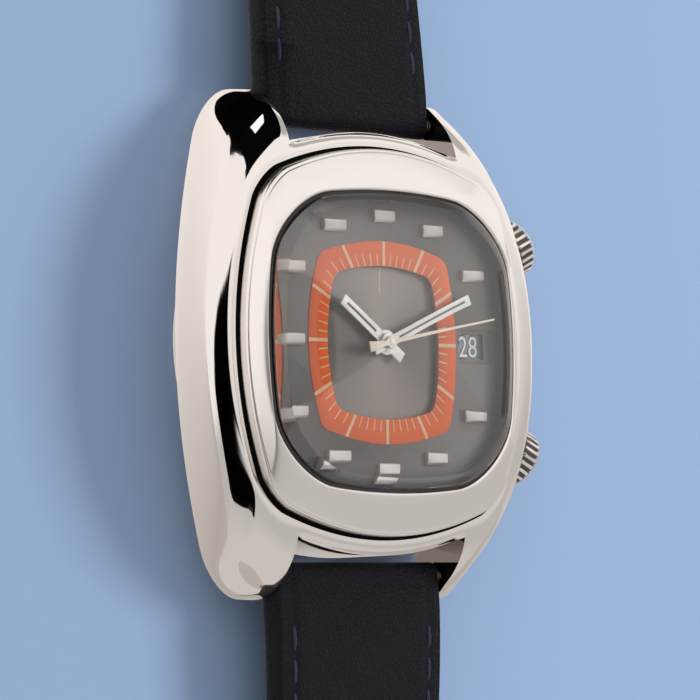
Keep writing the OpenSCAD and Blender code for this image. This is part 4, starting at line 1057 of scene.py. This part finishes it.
def addRamp(tree, value, start, stop, low=0.0, high=1.0, kind="LINEAR"):
    inputs = {"Value": value, "From Min": start, "From Max": stop, "To Min": low, "To Max": high}
    return addNode(tree, "MapRange", inputs, interpolation_type=kind).outputs[0]


def addSoftRamp(tree, value, start, stop, low=0.0, high=1.0):
    return addRamp(tree, value, start, stop, low, high, "SMOOTHSTEP")


# Each finish's noise as (scale, detail), and how far wear changes its roughness, as shares of it
grains = {"brushed": (1.0, 4.0), "painted": (9.0, 2.0), "printed": (6.0, 3.0), "paper": (0.6, 3.0)}
wear = {"brushed": (0.8, 1.25), "turned": (0.7, 1.3), "painted": (0.97, 1.04), "leather": (0.8, 1.2)}


def addWear(tree, mask, rough, kind):
    low, high = wear[kind]
    return addRamp(tree, mask, 0.0, 1.0, rough * low, rough * high)


def addNoise(tree, place, scale, detail, output="Fac"):
    return addNode(tree, "TexNoise", {"Vector": place, "Scale": scale, "Detail": detail}).outputs[output]


# Noise along one direction only, for turned rings and for rays
def addLines(tree, along, detail):
    return addNode(tree, "TexNoise", {"W": along, "Scale": 1.0, "Detail": detail},
                   noise_dimensions="1D").outputs["Fac"]


def addBlend(tree, mask, first, second):
    return addNode(tree, "MixRGB", {"Fac": mask, "Color1": first, "Color2": second}).outputs[0]


def addSplit(tree, vector):
    return addNode(tree, "SeparateXYZ", {"Vector": vector}).outputs


def opaque(color):
    return (*color, 1)


# Position on the part in millimetres
def positionMm(tree, stretch=(1, 1, 1)):
    coord = addNode(tree, "TexCoord")
    scale = tuple(1000 * k for k in stretch)
    return addNode(tree, "Mapping", {"Vector": coord.outputs["Object"], "Scale": scale}).outputs[0]


# A node group that takes a position and numbers, and gives numbers
def newGroup(name, inputs, outputs):
    group = bpy.data.node_groups.new(name, "ShaderNodeTree")
    group.interface.new_socket(name="Position", in_out="INPUT", socket_type="NodeSocketVector")
    for side, labels in (("INPUT", inputs), ("OUTPUT", outputs)):
        for label in labels:
            group.interface.new_socket(name=label, in_out=side, socket_type="NodeSocketFloat")
    return group, group.nodes.new("NodeGroupInput").outputs, group.nodes.new("NodeGroupOutput")


def useGroup(tree, group, inputs):
    node = addNode(tree, "Group", node_tree=group)
    feed(tree, node, inputs)
    return node.outputs


# Hairlines and smudges of a handled polish: a roughness and a height. Each is (scale, detail)
polishMarks = {"smudges": (0.35, 4.0), "hairs": (1.0, 3.0), "stretch": (0.6, 9.0, 3.0),
               "turned": (0.3, 0.2, 0.5)}


def makeHandled():
    g, given, out = newGroup("handledPolish", ("Rough", "Spread"), ("Roughness", "Height"))
    marks = polishMarks
    smudge = addNoise(g, given["Position"], *marks["smudges"])
    long = addNode(g, "Mapping", {"Vector": given["Position"], "Scale": marks["stretch"],
                                  "Rotation": marks["turned"]})
    hair = addNoise(g, long.outputs[0], *marks["hairs"])
    both = addMath(g, "MULTIPLY", smudge, hair)
    rough = addMath(g, "MULTIPLY_ADD", both, given["Spread"], given["Rough"])
    feed(g, out, {"Roughness": rough, "Height": hair})
    return g


# Fine lines that run out from the middle, and a mask for a painted highlight that is bright on two opposite
# sides
def makeSunburst():
    g, given, out = newGroup("sunburst", ("Lines", "Turn"), ("Mask", "Height"))
    parts = addSplit(g, given["Position"])
    angle = addMath(g, "ARCTAN2", parts["Y"], parts["X"])
    lines = addLines(g, addMath(g, "MULTIPLY", angle, given["Lines"]), 3.0)
    highlightSwing = addMath(g, "COSINE", addMath(g, "MULTIPLY_ADD", angle, 2.0, given["Turn"]))
    feed(g, out, {"Mask": addMath(g, "MULTIPLY_ADD", highlightSwing, 0.5, 0.5), "Height": lines})
    return g


# Pebbles, creases and pores of dyed calf leather, where each noise is (scale, detail)
hide = {"warp": 0.12, "warpNoise": (1.6, 2.0), "pebbleEdge": 0.16, "stretch": (0.35, 1.3, 1.3),
        "creases": (0.8, 5.0), "creaseHeight": 2.2, "pores": (7.0, 3.0), "poreHeight": 0.6}


def makeGrain():
    g, given, out = newGroup("leatherGrain", ("Pebble",), ("Height", "Mask"))
    place = given["Position"]
    warp = addNoise(g, place, *hide["warpNoise"], "Color")
    mixed = addNode(g, "Mix", {0: hide["warp"], 4: place, 5: warp}, data_type="VECTOR")
    cells = addNode(g, "TexVoronoi", {"Vector": mixed.outputs[1], "Scale": given["Pebble"]},
                    feature="DISTANCE_TO_EDGE")
    pebbles = addRamp(g, cells.outputs["Distance"], 0.0, hide["pebbleEdge"])
    long = addNode(g, "Mapping", {"Vector": place, "Scale": hide["stretch"]})
    crease = addNoise(g, long.outputs[0], *hide["creases"])
    pores = addNoise(g, place, *hide["pores"])
    height = addMath(g, "MULTIPLY_ADD", crease, hide["creaseHeight"], pebbles)
    height = addMath(g, "MULTIPLY_ADD", pores, hide["poreHeight"], height)
    feed(g, out, {"Height": height, "Mask": crease})
    return g


# How near a point of the dial is to the edge of the opening, for the painted shade along the dial's rim: 1
# at the edge, 0 well inside
rimShape = {"in": 0.4, "corner": 5.9, "reach": (12.1, 13.0), "from": 2.7, "to": 0.6}


def makeRimShade():
    g, given, out = newGroup("rimShade", (), ("Mask",))
    parts = addSplit(g, given["Position"])
    x, y = (addMath(g, "ABSOLUTE", parts[k], 0.0) for k in "XY")
    (wide, long, sideBow, endBow, share), corner = cushions["glass"], rimShape["corner"]
    squares = []
    for near, far, size, reach, bow in ((x, y, wide, rimShape["reach"][0], sideBow),
                                        (y, x, long, rimShape["reach"][1], endBow)):
        t = addMath(g, "DIVIDE", far, reach)
        bowed = addMath(g, "ADD", near, addMath(g, "MULTIPLY", addMath(g, "MULTIPLY", t, t), bow))
        past = addMath(g, "MAXIMUM", addMath(g, "ADD", bowed, corner - size / 2 + rimShape["in"]), 0.0)
        squares.append(addMath(g, "MULTIPLY", past, past))
    far = addMath(g, "SQRT", addMath(g, "ADD", *squares), 0.0)
    feed(g, out, {"Mask": addSoftRamp(g, far, corner - rimShape["from"], corner - rimShape["to"])})
    return g


handledPolish, sunburst = makeHandled(), makeSunburst()
leatherGrain, rimShade = makeGrain(), makeRimShade()


def newMaterial(name, color, rough, metal=0.0, **plain):
    mat = bpy.data.materials.new(name)
    mat.use_nodes = True
    tree = mat.node_tree
    shader = tree.nodes["Principled BSDF"]
    feed(tree, shader, {"Base Color": opaque(color), "Roughness": rough, "Metallic": metal})
    feed(tree, shader, {key.replace("_", " "): value for key, value in plain.items()})
    return mat, tree, shader


def addBump(tree, shader, height, distance):
    bump = addNode(tree, "Bump", {"Height": height, "Strength": 1.0, "Distance": distance * mm})
    feed(tree, shader, {"Normal": bump.outputs["Normal"]})


def polishedSteel(name, color, rough, spread, depth=0.000004):
    mat, tree, shader = newMaterial(name, color, rough, 1.0)
    polish = useGroup(tree, handledPolish, {"Position": positionMm(tree), "Rough": rough, "Spread": spread})
    feed(tree, shader, {"Roughness": polish["Roughness"]})
    addBump(tree, shader, polish["Height"], depth)
    return mat


# Between the lugs the steel gets painted shade, darkest where the recess faces sideways or down and lies in
# shadow. Each fade goes from its first value, still lit, to its second, fully in painted shade
lugFades = {"x": (4.5, 10.2), "lug": (10.9, 10.5), "y": (15.0, 17.5), "up": (0.35, 0.1)}


def lugShade(mat, color, shadeColor):
    tree = mat.node_tree
    parts = addSplit(tree, positionMm(tree))
    facing = addSplit(tree, addNode(tree, "TexCoord").outputs["Normal"])
    x, y = (addMath(tree, "ABSOLUTE", parts[k]) for k in "XY")
    mask = None
    for key, source in (("x", x), ("lug", x), ("y", y), ("up", facing["Z"])):
        start, stop = lugFades[key]
        low, high = (0.0, 1.0) if start < stop else (1.0, 0.0)
        part = addSoftRamp(tree, source, min(start, stop), max(start, stop), low, high)
        mask = addMath(tree, "MULTIPLY", mask, part) if mask else part
    tone = addBlend(tree, mask, opaque(color), opaque(shadeColor))
    feed(tree, tree.nodes["Principled BSDF"], {"Base Color": tone})


def brushedMetal(name, color, rough, stretch, depth=0.002, variation=0.12, metal=1.0):
    mat, tree, shader = newMaterial(name, color, rough, metal)
    brush = addNoise(tree, positionMm(tree, stretch), *grains["brushed"])
    tone = addRamp(tree, brush, 0.0, 1.0, 1 - variation, 1 + variation)
    feed(tree, shader, {"Base Color": addVector(tree, "MULTIPLY", color, tone)[0],
                        "Roughness": addWear(tree, brush, rough, "brushed")})
    addBump(tree, shader, brush, depth)
    return mat


# Metal turned on a lathe: fine rings round the middle
def turnedMetal(name, color, rough, rings=14.0, depth=0.0004):
    mat, tree, shader = newMaterial(name, color, rough, 1.0)
    far = addVector(tree, "LENGTH", positionMm(tree, (1, 1, 0)))["Value"]
    lines = addLines(tree, addMath(tree, "MULTIPLY", far, rings), 4.0)
    feed(tree, shader, {"Roughness": addWear(tree, lines, rough, "turned")})
    addBump(tree, shader, lines, depth)
    return mat


# Paint over a sunburst with a painted highlight, pale on two opposite sides towards the light, and painted
# shade at its rim
def sunburstPaint(name, color, pale, rough, metal, turn, lines=70.0, depth=0.0015, highlightSwing=0.8, ray=0.35,
                  rim=None):
    mat, tree, shader = newMaterial(name, color, rough, metal)
    rays = useGroup(tree, sunburst, {"Position": positionMm(tree), "Lines": lines,
                                     "Turn": math.radians(turn)})
    grain = addNoise(tree, positionMm(tree), *grains["painted"])
    fine = addMath(tree, "MULTIPLY", rays["Height"], ray)
    lit = addMath(tree, "MULTIPLY_ADD", rays["Mask"], highlightSwing, fine)
    tone = addBlend(tree, lit, opaque(color), opaque(pale))
    # Painted shade along the rim of the dial, where the bezel's wall shades it
    if rim:
        near = useGroup(tree, rimShade, {"Position": positionMm(tree)})
        tone = addBlend(tree, near["Mask"], tone, opaque(rim))
    feed(tree, shader, {"Base Color": tone, "Roughness": addWear(tree, grain, rough, "painted")})
    addBump(tree, shader, rays["Height"], depth)
    return mat


# Steel with painted shade in the flutes of a crown, left unshaded at its edge and on its cap. The two fades
# are depths under the edge and under the top
crownFinish = {"dark": (0.09, 0.085, 0.08), "rough": 0.09, "edge": (0.1, 0.01), "cap": (0.75, 0.45)}


def crownSteel(name, side):
    c, w = crownFinish, watch
    mat, tree, shader = newMaterial(name, steelColor, c["rough"], 1.0)
    turn = math.radians(side * w["crownAngle"])
    axis = (math.cos(turn), math.sin(turn), 0)
    place = addVector(tree, "SUBTRACT", positionMm(tree), (0, 0, w["stemZ"]))[0]
    out = addVector(tree, "LENGTH", addVector(tree, "CROSS_PRODUCT", place, axis)["Vector"])["Value"]
    along = addVector(tree, "DOT_PRODUCT", place, axis)["Value"]
    edge = addRamp(tree, out, *(w["crownD"] / 2 - depth for depth in c["edge"]))
    top = addRamp(tree, along, *(w["crownIn"] + w["crownL"] - depth for depth in c["cap"]))
    unshaded = addMath(tree, "MAXIMUM", edge, top)
    feed(tree, shader, {"Base Color": addBlend(tree, unshaded, opaque(c["dark"]), opaque(steelColor))})
    return mat


def printedPaint(name, color, rough=0.45, variation=0.06, depth=0.004):
    mat, tree, shader = newMaterial(name, color, rough)
    noise = addNoise(tree, positionMm(tree), *grains["printed"])
    thin, thick = ([min(1, c * (1 + k * variation)) for c in color] for k in (-1, 1))
    feed(tree, shader, {"Base Color": addBlend(tree, noise, opaque(thin), opaque(thick))})
    addBump(tree, shader, noise, depth)
    return mat


def leather(name, color, pale, rough, pebble, depth):
    mat, tree, shader = newMaterial(name, color, rough, Specular_IOR_Level=0.16)
    grain = useGroup(tree, leatherGrain, {"Position": positionMm(tree), "Pebble": pebble})
    feed(tree, shader, {"Base Color": addBlend(tree, grain["Mask"], opaque(color), opaque(pale)),
                        "Roughness": addWear(tree, grain["Mask"], rough, "leather")})
    addBump(tree, shader, grain["Height"], depth)
    return mat


# Light falls straight through the crystal onto the dial
def clearGlass(name):
    mat, tree, shader = newMaterial(name, (0.97, 0.98, 0.985), 0.0, 0.0, Transmission_Weight=1.0, IOR=1.55)
    path = addNode(tree, "LightPath").outputs["Is Shadow Ray"]
    clear = addNode(tree, "BsdfTransparent").outputs[0]
    both = addNode(tree, "MixShader", {0: path, 1: shader.outputs[0], 2: clear})
    feed(tree, tree.nodes["Material Output"], {"Surface": both.outputs[0]})
    return mat


steelColor = (0.80, 0.765, 0.74)
finishes = {
    "case_steel": polishedSteel("polishedSteel", steelColor, 0.035, 0.03),
    "back_steel": turnedMetal("backSteel", (0.70, 0.67, 0.65), 0.24),
    "crown_steel": polishedSteel("crownSteel", steelColor, 0.07, 0.05),
    # The bars' steel is darkened as painted shade, for the spring bars that lie in the shadow of the lug
    # gaps; the buckle bar gets the same
    "bar_steel": polishedSteel("barSteel", (0.32, 0.31, 0.30), 0.34, 0.1),
    "buckle_steel": polishedSteel("buckleSteel", steelColor, 0.06, 0.06),
    "crystal_glass": clearGlass("crystalGlass"),
    "gasket_rubber": printedPaint("gasketRubber", (0.02, 0.02, 0.022), 0.6),
    "nickel_plate": brushedMetal("nickelPlate", (0.62, 0.60, 0.55), 0.3, (1, 9, 9)),
    # The dial and the disc carry a painted highlight on two sides of their sunburst; the dial also carries
    # painted shade along its rim
    "dial_paint": sunburstPaint("dialPaint", (0.07, 0.065, 0.062), (0.175, 0.163, 0.156), 0.5, 0.2, 60,
                                rim=(0.014, 0.013, 0.013)),
    "disc_paint": sunburstPaint("discPaint", (0.115, 0.101, 0.095), (0.27, 0.241, 0.226), 0.45,
                                0.25, 180),
    "date_paint": printedPaint("datePaint", (0.20, 0.25, 0.27)),
    "track_paint": printedPaint("trackPaint", (0.56, 0.098, 0.02), 0.55),
    "marker_metal": brushedMetal("markerMetal", (0.80, 0.765, 0.735), 0.34, (0.5, 5, 5), 0.0006, 0.05),
    "hand_metal": brushedMetal("handMetal", (0.86, 0.85, 0.82), 0.3, (1, 1, 1), 0.0005, 0.03, 0.6),
    "second_paint": printedPaint("creamPaint", (0.70, 0.62, 0.52), 0.45),
    "jewel_ruby": printedPaint("ruby", (0.55, 0.01, 0.05), 0.08),
    "screw_steel": polishedSteel("bluedScrew", (0.08, 0.12, 0.35), 0.2, 0.1),
    "wheel_brass": brushedMetal("wheelBrass", (0.72, 0.52, 0.22), 0.28, (4, 4, 4)),
    "work_steel": brushedMetal("workSteel", (0.58, 0.57, 0.56), 0.25, (1, 6, 6)),
    "rotor_alloy": brushedMetal("rotorAlloy", (0.66, 0.60, 0.48), 0.3, (8, 1, 8)),
    "strap_leather": leather("strapLeather", (0.0022, 0.0022, 0.0042), (0.0065, 0.0065, 0.0105), 0.55,
                             2.4, 0.06),
    "keeper_leather": leather("keeperLeather", (0.0025, 0.0025, 0.0045), (0.0065, 0.0065, 0.0105), 0.5,
                              3.0, 0.04),
}
bezelFinish = polishedSteel("bezelSteel", (0.84, 0.805, 0.78), 0.24, 0.05)
threadFinish = printedPaint("navyThread", (0.012, 0.018, 0.045), 0.7, 0.2, 0.02)
darkFill = printedPaint("darkFill", (0.15, 0.145, 0.14), 0.5)
tickFinish = printedPaint("tickPaint", (0.55, 0.38, 0.25), 0.5)
numberFinish = printedPaint("numberPaint", (0.62, 0.66, 0.66), 0.5)
numberEdge = printedPaint("numberEdge", (0.05, 0.055, 0.06), 0.5)
jointShade = newMaterial("jointShade", (0.002, 0.002, 0.002), 0.9, Specular_IOR_Level=0.05)[0]
# Painted shade on the case steel in the recess between the lugs
lugShade(finishes["case_steel"], steelColor, (0.31, 0.27, 0.25))


def dress(piece, finish):
    piece.data.materials.clear()
    piece.data.materials.append(finishes[finish] if isinstance(finish, str) else finish)


slotOf = {row["node"]: row["material_slot"] for row in frame["record"]["subparts"]}
for name, node in frame["nodes"].items():
    dress(node, slotOf[name])

clothes = [(caseBody, "case_steel"), (jointShadePiece, jointShade), (bezelPiece, bezelFinish),
           (crystalPiece, "crystal_glass"), (dialPlate, "dial_paint"), (trackPiece, "track_paint"),
           (tickPiece, tickFinish), (pointerLine, tickFinish), (markerPiece, "marker_metal"),
           (numberPiece, numberFinish), (numberShade, numberEdge), (secondHand, "second_paint"),
           (secondPin, "hand_metal")]
clothes += [(hand, "hand_metal") for hand, fill in handPieces]
clothes += [(fill, darkFill) for hand, fill in handPieces]
clothes += [(piece, "strap_leather") for half, piece in strapHalves]
clothes += [(thread, threadFinish) for thread in threads]
clothes += [(piece, slot) for piece, body, node, slot in hardware]
clothes += [(crown, crownSteel(crown.name + "Steel", side)) for crown, side in crowns]
for piece, finish in clothes:
    dress(piece, finish)
print("materials made")


# Studio: pale floor, soft light all round that fades towards 6 o'clock, a key lamp, and black
# flags that only the polish sees. A flag in the sky is a spot: degrees from straight up towards
# 3 o'clock and towards 12 o'clock, then its radius, how soft its edge is and how bright it stays.
# The near flag and lamp are outlines (x, z) in front of the upper left lug

studio = {"floorSize": 3000.0, "floorSeen": (0.235, 0.345, 0.54), "floorBright": (1.04, 0.98, 0.94),
          "floorDim": (0.50, 0.46, 0.43), "floorFade": (-34.0, 26.0), "floorDrop": 0.02,
          "sky": (1.0, 0.965, 0.935), "skyLean": (-0.25, 1.0, 0.0), "skyFade": (-0.28, 0.06),
          "bright": 1.10, "dim": 0.60, "liftFade": (-0.88, -0.5), "lift": 0.11, "onPaint": 0.95,
          "lamp": {"at": (0.44, 0.07, 0.36), "size": 0.2, "power": 2.9, "color": (1.0, 0.97, 0.94)},
          "flagEdge": 0.6,
          "flags": [(25, 4, 4.7), (20, 3.4, 5.1), (15, 2.3, 6.2), (10, 0.9, 7.5), (6, -0.6, 8.3),
                    (2, -2.6, 8.6), (-1.5, -6, 8.0), (-4.5, -9.5, 7.3), (-7.5, -13.2, 6.7),
                    (-10.5, -17, 6.1), (-13.2, -20.6, 5.5), (-15.9, -24.2, 5.0),
                    (-18.4, -27.8, 4.6), (-20.6, -31.3, 4.3), (-22.5, -34.8, 4.0),
                    (-24.4, -38.4, 3.8), (-26.3, -42, 3.7)],
          "shades": [(50, 62, 21, 4, 0.5)],
          "nearFlagY": 27.0, "nearLampY": 26.95, "nearLampGlow": 1.3,
          "nearFlag": [(-11, 3.4), (-14.8, 3.6), (-17.6, 6.7), (-19.4, 9.8), (-20.4, 13),
                       (-21.2, 17), (-21.8, 22), (-21.3, 27.8), (-17, 27.4), (-12.3, 26),
                       (-8.5, 24.5), (-5.5, 21.5), (-3.4, 18.5), (-3.6, 14), (-4.8, 10),
                       (-5.8, 6), (-9, 5.6), (-9.8, 4.6)],
          "nearLamp": [(-14.4, 8.5), (-10.6, 8.3), (-11.4, 10.2), (-14.2, 10.8)]}


def buildNear(name, outline, y, glow):
    piece = meshObject(name, [(x, y, z) for x, z in outline], [tuple(range(len(outline)))])
    mat, tree, shader = newMaterial(name, (0.002, 0.002, 0.002), 1.0, Specular_IOR_Level=0.0)
    feed(tree, shader, {"Emission Color": (1, 1, 1, 1), "Emission Strength": glow})
    dress(piece, mat)
    piece.visible_camera = piece.visible_diffuse = piece.visible_shadow = False
    piece.visible_transmission = False


# The paper looks cool and pale, and in the polished steel it glows warm white instead: a painted light that
# fades from dim at 6 o'clock to bright at 12 o'clock
def buildFloor():
    s, r = studio, studio["floorSize"] / 2
    level = cadBox[0].z / mm - s["floorDrop"]
    floor = meshObject("floor", [(x, y, level) for x, y in box(-r, r, -r, r)], [(0, 1, 2, 3)])
    mat, tree, shader = newMaterial("floorPaper", s["floorSeen"], 0.85)
    inSteel = addNode(tree, "LightPath").outputs["Is Glossy Ray"]
    place = positionMm(tree)
    fade = addSoftRamp(tree, addSplit(tree, place)["Y"], *s["floorFade"])
    feed(tree, shader, {"Base Color": addBlend(tree, inSteel, opaque(s["floorSeen"]), (0, 0, 0, 1)),
                        "Emission Color": addBlend(tree, fade, opaque(s["floorDim"]),
                                                   opaque(s["floorBright"])),
                        "Emission Strength": inSteel})
    addBump(tree, shader, addNoise(tree, place, *grains["paper"]), 0.01)
    dress(floor, mat)


def buildSky():
    s, world = studio, bpy.data.worlds.new("studio")
    scene.world = world
    world.use_nodes = True
    tree = world.node_tree
    way = addVector(tree, "NORMALIZE", addNode(tree, "TexCoord").outputs["Generated"])[0]
    lean = addVector(tree, "DOT_PRODUCT", way, s["skyLean"])["Value"]
    value = addMath(tree, "ADD", addSoftRamp(tree, lean, *s["skyFade"], s["dim"], s["bright"]),
                    addSoftRamp(tree, lean, *s["liftFade"], s["lift"], 0.0))
    for right, up, radius, edge, low in [(*f, s["flagEdge"], 0.0) for f in s["flags"]] + s["shades"]:
        theta, phi = math.radians(math.hypot(right, up)), math.atan2(up, right)
        aim = (math.sin(theta) * math.cos(phi), math.sin(theta) * math.sin(phi), math.cos(theta))
        near = addVector(tree, "DOT_PRODUCT", way, aim)["Value"]
        outside, inside = (math.cos(math.radians(a)) for a in (radius + edge, radius - edge))
        value = addMath(tree, "MULTIPLY", value, addSoftRamp(tree, near, outside, inside, 1.0, low))
    onPaint = addNode(tree, "LightPath").outputs["Is Diffuse Ray"]
    strength = addMath(tree, "MULTIPLY", value, addRamp(tree, onPaint, 0.0, 1.0, 1.0, s["onPaint"]))
    feed(tree, tree.nodes["Background"], {"Color": opaque(s["sky"]), "Strength": strength})


def buildLamp():
    lamp = studio["lamp"]
    data = bpy.data.lights.new("keyLight", "AREA")
    data.energy, data.size, data.color = lamp["power"], lamp["size"], lamp["color"]
    made = newObject("keyLight", data)
    made.location = lamp["at"]
    made.rotation_euler = (-Vector(lamp["at"])).to_track_quat("-Z", "Y").to_euler()
    made.visible_glossy = made.visible_transmission = False


buildFloor()
buildNear("blackFlag", studio["nearFlag"], studio["nearFlagY"], 0.0)
buildNear("smallLamp", studio["nearLamp"], studio["nearLampY"], studio["nearLampGlow"])
buildSky()
buildLamp()
print("studio built")
